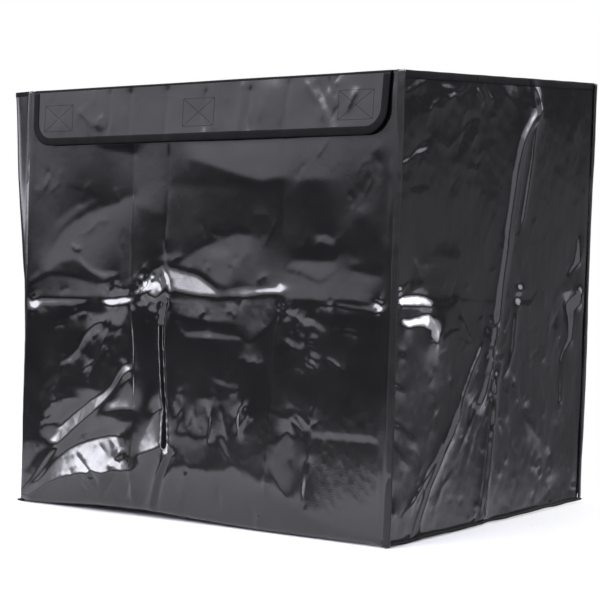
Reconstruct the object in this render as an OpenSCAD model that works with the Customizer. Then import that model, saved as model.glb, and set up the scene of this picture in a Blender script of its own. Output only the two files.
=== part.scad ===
// Fold-flat laundry and refuse bag of coated cloth, with a flap over each long rim.
// X runs along the front wall, Y from front to back, Z up. Z = 0 is what the bag stands on.
// The front wall is at -Y. Every panel is a thin slab that meets its neighbour at a crease line.

/* [Bag] */
// Length of the front and back walls between the seams
width = 585; // [480:5:700]
// Depth of the bag, outside to outside
depth = 445; // [360:5:560]
// Height of the rim over the floor
height = 545; // [400:5:800]
// Thickness of the coated cloth
cloth = 0.8; // [0.5:0.1:1.2]

/* [Flaps] */
// How far each flap hangs down from the rim
flap_drop = 73; // [50:1:120]
// Radius of the flap's two lower corners
flap_corner = 26; // [10:1:40]
// Gap between the flap's end and the end of the wall
flap_inset = 7; // [2:1:12]

/* [Bindings] */
// Width of the binding tape, folded
tape_width = 10; // [8:0.5:14]
// Thickness of one layer of tape
tape = 0.5; // [0.3:0.1:0.8]
// How far the bottom seams stand out
bottom_fin = 8; // [5:0.5:12]

/* [Closures] */
// Length of each hook or loop patch
patch_length = 54; // [40:1:80]
// Height of each patch
patch_height = 38; // [25:1:50]
// Thickness of one patch
patch = 1.0; // [0.6:0.1:1.5]
// Distance of the outer patches from the bag's middle
patch_out = 238; // [150:1:260]
// Distance of the patches' middle below the rim
patch_down = 38; // [25:1:50]
// Width of a row of thread
thread = 0.9; // [0.5:0.1:1.5]

/* [Hidden] */
$fn = 64;
hw = width / 2;
hd = depth / 2;
stand = 2 * patch;             // how far the flap stands off the wall
flap_half = hw - flap_inset;
gap = 2.5;                     // tape ends stop this far from a crease
relief = 4;                    // the floor's corners are cut back by this
fold_tan = tan(14);            // the fins taper to this slope beside the side's centre crease
black = [0.045, 0.045, 0.05];
inner_black = [0.06, 0.06, 0.065];
tape_black = [0.03, 0.03, 0.033];
patch_black = [0.02, 0.02, 0.022];

module box(low, high) { translate(low) cube(high - low); }

// ---- shapes for the front and the right, mirrored for the back and the left

module wall() {
  box([-hw - tape_width + 0.6, -hd, 0], [hw + tape_width - 0.6, -hd + cloth, height]);
}

// tape folded round the two seam allowances, standing out beyond the corner
module seam_tape() {
  difference() {
    box([hw + 0.2, -hd - tape, 0], [hw + tape_width, -hd + 2 * cloth + tape, height]);
    box([hw - 5, -hd, -1], [hw + tape_width - 0.6, -hd + cloth, height + 1]);
  }
}

module patches(y0, y1) {
  for (x = [-patch_out, 0, patch_out])
    box([x - patch_length / 2, y0, height - patch_down - patch_height / 2],
        [x + patch_length / 2, y1, height - patch_down + patch_height / 2]);
}

// the flap's outline between two planes, drawn in by "by" at its ends and its lower edge
module flap_plate(y0, y1, by, top) {
  r = flap_corner - by;
  a = flap_half - by;
  z = height - flap_drop + by;
  box([-a, y0, z + r], [a, y1, top]);
  box([-a + r, y0, z], [a - r, y1, z + r + 1]);
  for (s = [-1, 1])
    translate([s * (a - r), y1, z + r]) rotate([90, 0, 0]) cylinder(r = r, h = y1 - y0);
}

module flap() {
  flap_plate(-hd - stand - cloth, -hd - stand, 0, height);
  // the turn over the rim
  box([-flap_half, -hd - stand - cloth / 2, height - cloth], [flap_half, -hd, height]);
}

module flap_tape() {
  difference() {
    flap_plate(-hd - stand - cloth - tape, -hd - stand + tape, -tape, height - 3);
    flap_plate(-hd - stand - cloth - 2, -hd - stand + 2, tape_width - tape, height + 5);
    flap_plate(-hd - stand - cloth, -hd - stand, 0, height + 1);
  }
}

// a box with both diagonals, sewn through the flap and its patch
module box_x() {
  a = patch_length / 2 - 2;
  b = patch_height / 2 - 2;
  y0 = -hd - stand - cloth - 0.4;
  y1 = -hd - stand - cloth;
  difference() {
    box([-a, y0, -b], [a, y1, b]);
    box([-a + thread, y0 - 1, -b + thread], [a - thread, y1 + 1, b - thread]);
  }
  for (s = [-1, 1])
    rotate([0, s * atan2(b - thread / 2, a - thread / 2), 0])
      box([-norm([a, b]) + 1.4, y0, -thread / 2], [norm([a, b]) - 1.4, y1, thread / 2]);
}

module stitches() {
  for (x = [-patch_out, 0, patch_out]) translate([x, 0, height - patch_down]) box_x();
}

module side_half() {
  box([hw - cloth, -hd + cloth, 0], [hw, 0, height - tape]);
}

module side_top_tape() {
  difference() {
    box([hw - cloth - tape, -hd + cloth + gap, height - tape_width], [hw + tape, -gap, height]);
    box([hw - cloth, -hd, height - tape_width - 1], [hw, 1, height - tape]);
  }
}

// the bottom seam stands out sideways and thins away towards the centre crease
module side_bottom_tape() {
  difference() {
    box([hw, -hd + 2 * cloth + tape + 0.3, 0], [hw + bottom_fin, -gap, 2 * cloth + 2 * tape]);
    translate([hw, 0, -1]) rotate([0, 0, -atan(1 / fold_tan) + 0])
      box([-60, 0, 0], [60, 60, 8]);
  }
}

module floor_half() {
  // a trapezium: its ends run in at 45 degrees to the ridge
  a = hw - cloth - relief;
  l = hd - cloth;
  difference() {
    box([-a, -hd + cloth, 0], [a, 0, cloth]);
    for (s = [-1, 1])
      translate([s * a, -hd + cloth, -1]) rotate([0, 0, s > 0 ? 45 : -45])
        box(s > 0 ? [0, 0 - 400, 0] : [-400, -400, 0], s > 0 ? [400, 400, 3] : [0, 400, 3]);
  }
}

module floor_corner() {
  a = hw - cloth - relief;
  difference() {
    box([a - hd + cloth - 1, -hd + cloth, 0], [hw - cloth, 0, cloth]);
    translate([a, -hd + cloth, -1]) rotate([0, 0, 45]) box([-400, -400, 0], [0, 400, 3]);
  }
}

// ---- front wall
module front_wall() { color(black) wall(); }
module right_front_seam_binding() { color(tape_black) seam_tape(); }
module left_front_seam_binding() { color(tape_black) mirror([1, 0, 0]) seam_tape(); }
module front_loop_patches() { color(patch_black) patches(-hd - patch, -hd); }

// ---- front flap
module front_flap() { color(black) flap(); }
module front_flap_binding() { color(tape_black) flap_tape(); }
module front_hook_patches() { color(patch_black) patches(-hd - stand, -hd - patch); }
module front_flap_stitching() { color(tape_black) stitches(); }

// ---- right side, front half
module right_side_front() { color(black) side_half(); }
module right_side_front_top_binding() { color(tape_black) side_top_tape(); }
module right_side_front_bottom_binding() { color(tape_black) side_bottom_tape(); }

// ---- right side, back half
module right_side_back() { color(black) mirror([0, 1, 0]) side_half(); }
module right_side_back_top_binding() { color(tape_black) mirror([0, 1, 0]) side_top_tape(); }
module right_side_back_bottom_binding() { color(tape_black) mirror([0, 1, 0]) side_bottom_tape(); }

// ---- left side, front half
module left_side_front() { color(black) mirror([1, 0, 0]) side_half(); }
module left_side_front_top_binding() { color(tape_black) mirror([1, 0, 0]) side_top_tape(); }
module left_side_front_bottom_binding() { color(tape_black) mirror([1, 0, 0]) side_bottom_tape(); }

// ---- left side, back half
module left_side_back() { color(black) mirror([1, 0, 0]) mirror([0, 1, 0]) side_half(); }
module left_side_back_top_binding() { color(tape_black) mirror([1, 0, 0]) mirror([0, 1, 0]) side_top_tape(); }
module left_side_back_bottom_binding() { color(tape_black) mirror([1, 0, 0]) mirror([0, 1, 0]) side_bottom_tape(); }

// ---- back wall
module back_wall() { color(black) mirror([0, 1, 0]) wall(); }
module right_back_seam_binding() { color(tape_black) mirror([0, 1, 0]) seam_tape(); }
module left_back_seam_binding() { color(tape_black) mirror([1, 0, 0]) mirror([0, 1, 0]) seam_tape(); }
module back_loop_patches() { color(patch_black) mirror([0, 1, 0]) patches(-hd - patch, -hd); }

// ---- back flap
module back_flap() { color(black) mirror([0, 1, 0]) flap(); }
module back_flap_binding() { color(tape_black) mirror([0, 1, 0]) flap_tape(); }
module back_hook_patches() { color(patch_black) mirror([0, 1, 0]) patches(-hd - stand, -hd - patch); }
module back_flap_stitching() { color(tape_black) mirror([0, 1, 0]) stitches(); }

// ---- floor
module floor_front() { color(inner_black) floor_half(); }
module floor_back() { color(inner_black) mirror([0, 1, 0]) floor_half(); }
module floor_corner_front_right() { color(inner_black) floor_corner(); }
module floor_corner_back_right() { color(inner_black) mirror([0, 1, 0]) floor_corner(); }
module floor_corner_front_left() { color(inner_black) mirror([1, 0, 0]) floor_corner(); }
module floor_corner_back_left() { color(inner_black) mirror([1, 0, 0]) mirror([0, 1, 0]) floor_corner(); }

front_wall();
right_front_seam_binding();
left_front_seam_binding();
front_loop_patches();
front_flap();
front_flap_binding();
front_hook_patches();
front_flap_stitching();
right_side_front();
right_side_front_top_binding();
right_side_front_bottom_binding();
right_side_back();
right_side_back_top_binding();
right_side_back_bottom_binding();
left_side_front();
left_side_front_top_binding();
left_side_front_bottom_binding();
left_side_back();
left_side_back_top_binding();
left_side_back_bottom_binding();
back_wall();
right_back_seam_binding();
left_back_seam_binding();
back_loop_patches();
back_flap();
back_flap_binding();
back_hook_patches();
back_flap_stitching();
floor_front();
floor_back();
floor_corner_front_right();
floor_corner_back_right();
floor_corner_front_left();
floor_corner_back_left();
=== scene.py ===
import math

import bpy
import numpy as np
from mathutils import Matrix, Vector


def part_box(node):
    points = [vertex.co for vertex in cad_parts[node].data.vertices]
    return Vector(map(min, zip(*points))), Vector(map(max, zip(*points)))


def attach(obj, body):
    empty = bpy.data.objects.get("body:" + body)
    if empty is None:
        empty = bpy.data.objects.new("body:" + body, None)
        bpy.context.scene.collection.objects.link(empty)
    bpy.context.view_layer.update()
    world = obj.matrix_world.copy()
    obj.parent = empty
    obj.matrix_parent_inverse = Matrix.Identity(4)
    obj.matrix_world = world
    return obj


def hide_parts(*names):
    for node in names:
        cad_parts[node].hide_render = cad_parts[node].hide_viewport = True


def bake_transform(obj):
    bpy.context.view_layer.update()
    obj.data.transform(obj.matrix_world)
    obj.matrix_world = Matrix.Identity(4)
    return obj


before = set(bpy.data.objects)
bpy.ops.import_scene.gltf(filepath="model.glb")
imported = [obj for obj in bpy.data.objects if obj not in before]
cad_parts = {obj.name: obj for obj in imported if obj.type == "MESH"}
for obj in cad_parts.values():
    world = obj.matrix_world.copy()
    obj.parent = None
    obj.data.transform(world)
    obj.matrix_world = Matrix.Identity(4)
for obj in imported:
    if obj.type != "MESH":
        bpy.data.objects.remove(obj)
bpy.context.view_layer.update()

# ---------------------------------------------------------------- sizes, in mm, from the CAD nodes


def node_box(name):
    lo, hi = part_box(name)
    return np.array(lo) * 1000.0, np.array(hi) * 1000.0


side_lo, side_hi = node_box("right_side_front")
wall_lo, wall_hi = node_box("front_wall")
flap_lo, flap_hi = node_box("front_flap")
tape_lo, tape_hi = node_box("right_front_seam_binding")
top_lo, top_hi = node_box("right_side_front_top_binding")
fin_lo, fin_hi = node_box("right_side_front_bottom_binding")
hook_lo, hook_hi = node_box("front_hook_patches")
loop_lo, loop_hi = node_box("front_loop_patches")
stitch_lo, stitch_hi = node_box("front_flap_stitching")

HW = side_hi[0]  # half the length, to the outside of the side walls
HD = -wall_lo[1]  # half the depth, to the outside of the front wall
H = wall_hi[2]  # height of the rim
T = wall_hi[1] - wall_lo[1]  # thickness of the coated cloth
FA = flap_hi[0]  # half the length of a flap
FZ = flap_lo[2]  # the flap's lower edge
TW = tape_hi[0] - HW  # width of the binding
FIN = fin_hi[0] - HW  # how far the bottom seam stands out
PZ = (loop_lo[2] + loop_hi[2]) / 2
PH = loop_hi[2] - loop_lo[2]
PL = hook_hi[0] - hook_lo[0]
PW = 54.0
PX = loop_hi[0] - PW / 2
ROLL = 9.0  # radius of the turn from a wall into the floor

# ---------------------------------------------------------------- small numeric helpers


def smooth(a, b, x):
    t = np.clip((x - a) / (b - a), 0.0, 1.0)
    return t * t * (3 - 2 * t)


def vnoise(x, y, sx, sy, seed):
    """Smooth lattice noise from -1 to 1."""
    g = np.random.RandomState(seed).uniform(-1, 1, (128, 128))
    u, v = x / sx + 37.3, y / sy + 51.7
    i, j = np.floor(u).astype(int), np.floor(v).astype(int)
    fu, fv = u - i, v - j
    fu = fu**3 * (fu * (fu * 6 - 15) + 10)
    fv = fv**3 * (fv * (fv * 6 - 15) + 10)
    a, b = g[i % 128, j % 128], g[(i + 1) % 128, j % 128]
    c, d = g[i % 128, (j + 1) % 128], g[(i + 1) % 128, (j + 1) % 128]
    return (a * (1 - fu) + b * fu) * (1 - fv) + (c * (1 - fu) + d * fu) * fv


def fold_noise(x, y, sx, sy, seed):
    """Noise with sharp crests, as cloth that was folded has."""
    n = vnoise(x, y, sx, sy, seed)
    return 1 - 2 * np.sqrt(n * n + 0.004)


def track(X, Y, pts):
    """Distance to a polyline, the side (positive to the left of its direction) and the share of its length."""
    p = np.array(pts, float)
    seg = np.linalg.norm(np.diff(p, axis=0), axis=1)
    at = np.concatenate([[0], np.cumsum(seg)])
    best = np.full(X.shape, 1e9)
    side = np.ones(X.shape)
    where = np.zeros(X.shape)
    for k in range(len(p) - 1):
        d = p[k + 1] - p[k]
        L = max(seg[k], 1e-9)
        t = np.clip(((X - p[k, 0]) * d[0] + (Y - p[k, 1]) * d[1]) / (L * L), 0, 1)
        ex, ey = X - p[k, 0] - t * d[0], Y - p[k, 1] - t * d[1]
        dist = np.hypot(ex, ey)
        closer = dist < best
        best = np.where(closer, dist, best)
        side = np.where(closer, np.sign(d[0] * ey - d[1] * ex + 1e-12), side)
        where = np.where(closer, (at[k] + t * L), where)
    return best, side, where, at[-1]


def crease(X, Y, pts, amp, left, right=None, eps=1.2, taper=12.0, ends=(1, 1)):
    """A ridge (amp over 0) or a valley along a polyline, with its own reach on each side."""
    right = left if right is None else right
    d, s, w, L = track(X, Y, pts)
    reach = np.where(s > 0, left, right)
    h = amp * np.exp(-(np.sqrt(d * d + eps * eps) - eps) / reach)
    if ends[0]:
        h = h * (0.12 + 0.88 * smooth(0, taper, w))
    if ends[1]:
        h = h * (0.12 + 0.88 * smooth(0, taper, L - w))
    return h


def step(X, Y, pts, amp, width, reach, taper=12.0):
    """The cloth is high on the left of a line and low on its right."""
    d, s, w, L = track(X, Y, pts)
    h = amp * np.tanh(s * d / width) * np.exp(-d / reach)
    return h * smooth(0, taper, w) * smooth(0, taper, L - w)


def inside(X, Y, poly, soft):
    """1 inside a polygon and 0 outside, with a soft edge."""
    p = np.array(poly, float)
    d, _, _, _ = track(X, Y, np.vstack([p, p[:1]]))
    hit = np.zeros(X.shape, bool)
    for k in range(len(p)):
        a, b = p[k], p[(k + 1) % len(p)]
        cond = (a[1] > Y) != (b[1] > Y)
        xs = (b[0] - a[0]) * (Y - a[1]) / (b[1] - a[1] + 1e-12) + a[0]
        hit ^= cond & (X < xs)
    return smooth(-soft, soft, np.where(hit, d, -d))


def facet(X, Y, poly, gx, gy, soft=6.0, rise=0.0):
    """A flat patch of cloth that leans by gx along the first axis and gy along the second."""
    p = np.array(poly, float)
    cx, cy = p.mean(0)
    return inside(X, Y, poly, soft) * (rise + gx * (X - cx) + gy * (Y - cy))


def bump(X, Y, cx, cy, rx, ry, turn, amp):
    c, s = math.cos(math.radians(turn)), math.sin(math.radians(turn))
    u, v = ((X - cx) * c + (Y - cy) * s) / rx, (-(X - cx) * s + (Y - cy) * c) / ry
    return amp * np.exp(-(u * u + v * v))


def crumple(X, Y, cx, cy, r, n, length, amp, seed, turn=None, spread=90.0):
    """Short random folds round a point."""
    rng = np.random.RandomState(seed)
    h = np.zeros(X.shape)
    for _ in range(n):
        a = rng.uniform(0, 2 * math.pi)
        q = r * math.sqrt(rng.uniform(0, 1))
        x0, y0 = cx + q * math.cos(a), cy + q * math.sin(a)
        base = rng.uniform(0, 180) if turn is None else turn + rng.uniform(-1, 1) * spread
        b = math.radians(base)
        L = length * rng.uniform(0.5, 1.3)
        k = rng.uniform(-0.25, 0.25) * L
        pts = [
            (x0 - L / 2 * math.cos(b), y0 - L / 2 * math.sin(b)),
            (x0 - k * math.sin(b), y0 + k * math.cos(b)),
            (x0 + L / 2 * math.cos(b), y0 + L / 2 * math.sin(b)),
        ]
        g = amp * rng.uniform(0.5, 1.2) * (1 if rng.uniform() < 0.6 else -1)
        h += crease(X, Y, pts, g, 3.0 + 3 * rng.uniform(), 2.5 + 4 * rng.uniform(), 0.9, L * 0.35)
    return h


def sine_sum(f):
    """Two-way sine transform of a grid whose border is zero."""
    n, m = f.shape
    g = np.zeros((2 * n + 2, 2 * m + 2))
    g[1 : n + 1, 1 : m + 1] = f
    g[n + 2 :, 1 : m + 1] = -f[::-1]
    g[1 : n + 1, m + 2 :] = -f[:, ::-1]
    g[n + 2 :, m + 2 :] = f[::-1, ::-1]
    return -np.real(np.fft.fft2(g))[1 : n + 1, 1 : m + 1] / 4.0


class Relief:
    """A wall's folds as one height field.

    Each facet is a patch of cloth that leans by a slope up and a slope along. The height that
    comes closest to all the slopes is solved for, and it is zero on the wall's four edges.
    """

    def __init__(self, a_lim, b_lim, cell, facets, extra, reach=130.0, rounds=44):
        n = int(round((a_lim[1] - a_lim[0]) / cell)) - 1
        m = int(round((b_lim[1] - b_lim[0]) / cell)) - 1
        self.da, self.db = (a_lim[1] - a_lim[0]) / (n + 1), (b_lim[1] - b_lim[0]) / (m + 1)
        self.a0, self.b0 = a_lim[0], b_lim[0]
        self.A = a_lim[0] + self.da * np.arange(n + 2)
        self.B = b_lim[0] + self.db * np.arange(m + 2)
        A, B = np.meshgrid(self.A, self.B, indexing="ij")
        ga, gb, wt = np.zeros(A.shape), np.zeros(A.shape), np.full(A.shape, 0.12)
        for up, along, soft, weight, poly in facets:
            p = np.array(poly, float)
            lo, hi = p.min(0) - 2 * soft - 2, p.max(0) + 2 * soft + 2
            i0, i1 = np.searchsorted(self.A, [lo[0], hi[0]])
            j0, j1 = np.searchsorted(self.B, [lo[1], hi[1]])
            if i1 - i0 < 2 or j1 - j0 < 2:
                continue
            w = (slice(i0, i1), slice(j0, j1))
            k = inside(A[w], B[w], poly, soft)
            gb[w] = gb[w] * (1 - k) - up * k
            ga[w] = ga[w] * (1 - k) - along * k
            wt[w] = wt[w] * (1 - k) + min(0.75 * weight, 1.0) * k
        ta, tb = (ga[1:, 1:-1] + ga[:-1, 1:-1]) / 2, (gb[1:-1, 1:] + gb[1:-1, :-1]) / 2
        wa, wb = (wt[1:, 1:-1] + wt[:-1, 1:-1]) / 2, (wt[1:-1, 1:] + wt[1:-1, :-1]) / 2
        ea = (2 - 2 * np.cos(np.pi * np.arange(1, n + 1) / (n + 1))) / self.da**2
        eb = (2 - 2 * np.cos(np.pi * np.arange(1, m + 1) / (m + 1))) / self.db**2
        den = ea[:, None] + eb[None, :] + 1.0 / reach**2
        h = np.zeros((n + 2, m + 2))
        for k in range(rounds):
            if k == rounds // 2:  # press harder where the cloth hasn't reached its slope yet
                strong = smooth(0.9, 1.0, wb)
                tb = tb + 1.0 * strong * (tb - np.diff(h[1:-1], axis=1) / self.db)
                ta = ta + 1.0 * smooth(0.9, 1.0, wa) * (ta - np.diff(h[:, 1:-1], axis=0) / self.da)
            da = np.diff(h[:, 1:-1], axis=0) / self.da
            db = np.diff(h[1:-1], axis=1) / self.db
            fa, fb = wa * ta + (1 - wa) * da, wb * tb + (1 - wb) * db
            div = np.diff(fa, axis=0) / self.da + np.diff(fb, axis=1) / self.db
            h[1:-1, 1:-1] = -sine_sum(sine_sum(div) / den) * 4.0 / ((n + 1) * (m + 1))
        self.h = h + extra(A, B)

    def __call__(self, a, b):
        u = np.clip((np.asarray(a, float) - self.a0) / self.da, 0, len(self.A) - 1.001)
        v = np.clip((np.asarray(b, float) - self.b0) / self.db, 0, len(self.B) - 1.001)
        i, j = u.astype(int), v.astype(int)
        fu, fv = u - i, v - j
        h = self.h
        return (h[i, j] * (1 - fu) + h[i + 1, j] * fu) * (1 - fv) + (h[i, j + 1] * (1 - fu) + h[i + 1, j + 1] * fu) * fv


def band(line, width, up, along, soft=1.2, weight=1.3):
    """A flank of even width beside a fold line, as one facet."""
    return (up, along, soft, weight, list(line) + [(p + width, q) for p, q in line[::-1]])


def sized(facets, fa, fb):
    """Facets laid out on a bag of the usual size, moved to this one's size."""
    return [(u, l, s, w, [(p * fa, q * fb) for p, q in poly]) for u, l, s, w, poly in facets]


def turned(facets, seed, keep, drift=14.0):
    """Facets for the opposite wall: mirrored, some left out, each moved a little."""
    rng = np.random.RandomState(seed)
    out = []
    for u, l, s, w, poly in facets:
        k, dx, dz, g = rng.uniform(), rng.uniform(-drift, drift), rng.uniform(-drift, drift), rng.uniform(0.7, 1.1)
        if k > keep and w > 0.75:
            continue
        out.append((u * g, -l * g, s * 1.2, w, [(-p + dx, q + 0.35 * dz) for p, q in poly]))
    return out


# ---------------------------------------------------------------- the whole bag leans a little

OFF = {
    (1, -1, 1): (11.9, 8.1, 0.6),
    (-1, -1, 1): (10.5, 12.7, -5.1),
    (1, 1, 1): (14.3, 6.6, 4.2),
    (-1, 1, 1): (0, 0, 0),
    (1, -1, 0): (-2.1, -1.6, 0.0),
    (-1, -1, 0): (-1.9, -2.2, 0.0),
    (1, 1, 0): (-2.8, -1.2, 1.5),
    (-1, 1, 0): (0, 0, 0),
}
LIFT_X = [-330, -292, -247, -200, -154, -72, -30, 40, 118, 174, 273, 292, 330]
LIFT_Z = [0, 0, 1, 4, 6.6, 7.6, 5.6, 3, 1, 1, 1.5, 0, 0]


def warp(P):
    P = np.asarray(P, float)
    a = (P[..., 0] + HW) / (2 * HW)
    b = (P[..., 1] + HD) / (2 * HD)
    c = P[..., 2] / H
    out = P.copy()
    for (sx, sy, sz), v in OFF.items():
        w = (a if sx > 0 else 1 - a) * (b if sy > 0 else 1 - b) * (c if sz > 0 else 1 - c)
        out = out + w[..., None] * np.array(v)
    lift = np.interp(P[..., 0], LIFT_X, LIFT_Z) * np.exp(-np.maximum(P[..., 2], 0) / 45.0)
    lift = lift * (1 - smooth(0, 75, P[..., 1] + HD))
    out[..., 2] += lift
    return out


def turn_fin(P):
    """Lays two corner fins over: the cloth past the front-left and the back-right corner, and its tape, turns about the
    seam.
    """
    P = np.asarray(P, float).copy()
    for s, side, low, high in ((-1, -1, -60.0, -20.0), (1, 1, 104.0, 110.0)):
        u = s * P[..., 0] - HW
        v = side * P[..., 1] - HD
        here = (u > -1.0) & (np.abs(v) < 16)
        ang = np.radians(low + (high - low) * smooth(0.1, 0.75, P[..., 2] / H)) * smooth(-1.0, 2.2, u)
        un, vn = u * np.cos(ang) - v * np.sin(ang), u * np.sin(ang) + v * np.cos(ang)
        P[..., 0] = np.where(here, s * (HW + un), P[..., 0])
        P[..., 1] = np.where(here, side * (HD + vn), P[..., 1])
    return P


# ---------------------------------------------------------------- mesh makers


def grid_normals(P, like):
    """Unit normals of a grid of points, on the side that 'like' points to."""
    du, dv = np.gradient(P, axis=0), np.gradient(P, axis=1)
    n = np.cross(du, dv)
    n /= np.linalg.norm(n, axis=-1, keepdims=True) + 1e-12
    if (n.reshape(-1, 3) @ np.array(like, float)).mean() < 0:
        n = -n
    return n


def make_mesh(name, verts, faces_q, loop_normals, uv, mats, mat_index, extra_faces=None, extra_index=None):
    """A mesh of quads (an (n, 4) array) in mm, with its own corner normals."""
    m = bpy.data.meshes.new(name)
    nq = len(faces_q)
    m.vertices.add(len(verts))
    m.vertices.foreach_set("co", (np.asarray(verts, np.float32) / 1000.0).ravel())
    m.loops.add(nq * 4)
    m.loops.foreach_set("vertex_index", np.asarray(faces_q, np.int32).ravel())
    m.polygons.add(nq)
    m.polygons.foreach_set("loop_start", np.arange(0, nq * 4, 4, dtype=np.int32))
    m.polygons.foreach_set("loop_total", np.full(nq, 4, np.int32))
    m.polygons.foreach_set("use_smooth", np.ones(nq, bool))
    m.polygons.foreach_set("material_index", np.asarray(mat_index, np.int32))
    m.update(calc_edges=True)
    if uv is not None:
        layer = m.uv_layers.new(name="cloth")
        layer.data.foreach_set("uv", np.asarray(uv, np.float32)[np.asarray(faces_q).ravel()].ravel())
    m.validate()
    if loop_normals is not None:
        m.normals_split_custom_set(np.asarray(loop_normals, float).reshape(-1, 3).tolist())
    o = bpy.data.objects.new(name, m)
    bpy.context.scene.collection.objects.link(o)
    for mat in mats:
        m.materials.append(mat)
    return o


def shell(name, P, N, uv, mats, t=None, fold=None):
    """A double sheet: P is its outer face, with normals N. Columns inside 'fold' take the third material, which on the
    flap is the cloth with its reflection taken away: painted shade along the rim.
    """
    t = T if t is None else t
    nu, nv = P.shape[:2]
    n = nu * nv
    outer, inner = P.reshape(-1, 3), (P - t * N).reshape(-1, 3)
    verts = np.vstack([outer, inner])
    idx = np.arange(n).reshape(nu, nv)
    a, b, c, d = idx[:-1, :-1], idx[1:, :-1], idx[1:, 1:], idx[:-1, 1:]
    quads = np.stack([a, b, c, d], -1).reshape(-1, 4)
    e1 = outer[quads[:, 1]] - outer[quads[:, 0]]
    e2 = outer[quads[:, 3]] - outer[quads[:, 0]]
    flip = ((np.cross(e1, e2)) * N.reshape(-1, 3)[quads[:, 0]]).sum() < 0
    if flip:
        quads = quads[:, ::-1]
    inner_q = quads[:, ::-1] + n
    loops = [
        idx[:, 0][::-1],
        idx[-1, :][::-1],
        idx[:, -1],
        idx[0, :],
    ]
    rims = []
    for r in loops:
        p, q = r[:-1], r[1:]
        rims.append(np.stack([p, q, q + n, p + n], -1))
    rims = np.vstack(rims)
    if flip:
        rims = rims[:, ::-1]
    Nf = np.vstack([N.reshape(-1, 3), -N.reshape(-1, 3)])
    rn = np.cross(verts[rims[:, 1]] - verts[rims[:, 0]], verts[rims[:, 3]] - verts[rims[:, 0]])
    rn /= np.linalg.norm(rn, axis=1, keepdims=True) + 1e-12
    faces = np.vstack([quads, inner_q, rims])
    ln = np.concatenate([Nf[quads.ravel()], Nf[inner_q.ravel()], np.repeat(rn, 4, 0)])
    top = np.zeros(len(quads))
    if fold:
        col = np.tile(np.arange(nv - 1), nu - 1)
        top = np.where((col >= fold[0]) & (col < fold[1]), 2.0, 0.0)
    mi = np.concatenate([top, np.ones(len(inner_q)), np.ones(len(rims))])
    UV = np.vstack([uv.reshape(-1, 2), uv.reshape(-1, 2)])
    return make_mesh(name, verts, faces, ln, UV, mats, mi)


def tube(name, rings, uv_along, mats, cap=True):
    """A closed tube through rings of points (n, k, 3)."""
    n, k = rings.shape[:2]
    verts = rings.reshape(-1, 3)
    idx = np.arange(n * k).reshape(n, k)
    nxt = np.roll(idx, -1, axis=1)
    quads = np.stack([idx[:-1], nxt[:-1], nxt[1:], idx[1:]], -1).reshape(-1, 4)
    vc = verts[quads].mean(1)
    mid = np.repeat(rings.mean(1)[:-1], k, 0)
    e1, e2 = verts[quads[:, 1]] - verts[quads[:, 0]], verts[quads[:, 3]] - verts[quads[:, 0]]
    if (np.cross(e1, e2) * (vc - mid)).sum() < 0:
        quads = quads[:, ::-1]
        flip = True
    else:
        flip = False
    m = bpy.data.meshes.new(name)
    faces = [tuple(int(i) for i in q) for q in quads]
    if cap:
        first, last = [int(i) for i in idx[0]], [int(i) for i in idx[-1]]
        faces.append(tuple(first if flip else first[::-1]))
        faces.append(tuple(last[::-1] if flip else last))
    m.from_pydata((verts / 1000.0).tolist(), [], faces)
    m.update()
    seg = np.linalg.norm(np.roll(rings, -1, axis=1) - rings, axis=2).mean(0)
    across = np.concatenate([[0], np.cumsum(seg)[:-1]])
    layer = m.uv_layers.new(name="cloth")
    U = np.repeat(np.asarray(uv_along)[:, None], k, 1) / 1000.0
    V = np.repeat(across[None, :], n, 0) / 1000.0
    UV = np.stack([U, V], -1).reshape(-1, 2)
    li = np.zeros(len(m.loops), np.int32)
    m.loops.foreach_get("vertex_index", li)
    layer.data.foreach_set("uv", UV[li].astype(np.float32).ravel())
    m.polygons.foreach_set("use_smooth", np.ones(len(m.polygons), bool))
    for mat in mats:
        m.materials.append(mat)
    o = bpy.data.objects.new(name, m)
    bpy.context.scene.collection.objects.link(o)
    return o


def band_rings(C, Wd, Nd, width, thick, k=16, seed=1, pucker=0.12):
    """Rounded-rectangle rings round centres C, with width along Wd and thickness along Nd."""
    n = len(C)
    a = np.linspace(0, 2 * math.pi, k, endpoint=False) + math.pi / k
    ca, sa = np.cos(a), np.sin(a)
    e = 0.45
    cx = np.sign(ca) * np.abs(ca) ** e
    cy = np.sign(sa) * np.abs(sa) ** e
    s = np.concatenate([[0], np.cumsum(np.linalg.norm(np.diff(C, axis=0), axis=1))])
    th = thick * (1 + pucker * np.sin(2 * math.pi * s / 4.2) + 0.12 * vnoise(s, s * 0, 14, 9, seed))
    wd = width * (1 + 0.03 * vnoise(s, s * 0, 22, 9, seed + 1))
    return (
        C[:, None, :]
        + (cx[None, :] * wd[:, None] / 2)[..., None] * Wd[:, None, :]
        + (cy[None, :] * th[:, None] / 2)[..., None] * Nd[:, None, :]
    ), s


# ---------------------------------------------------------------- materials


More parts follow.
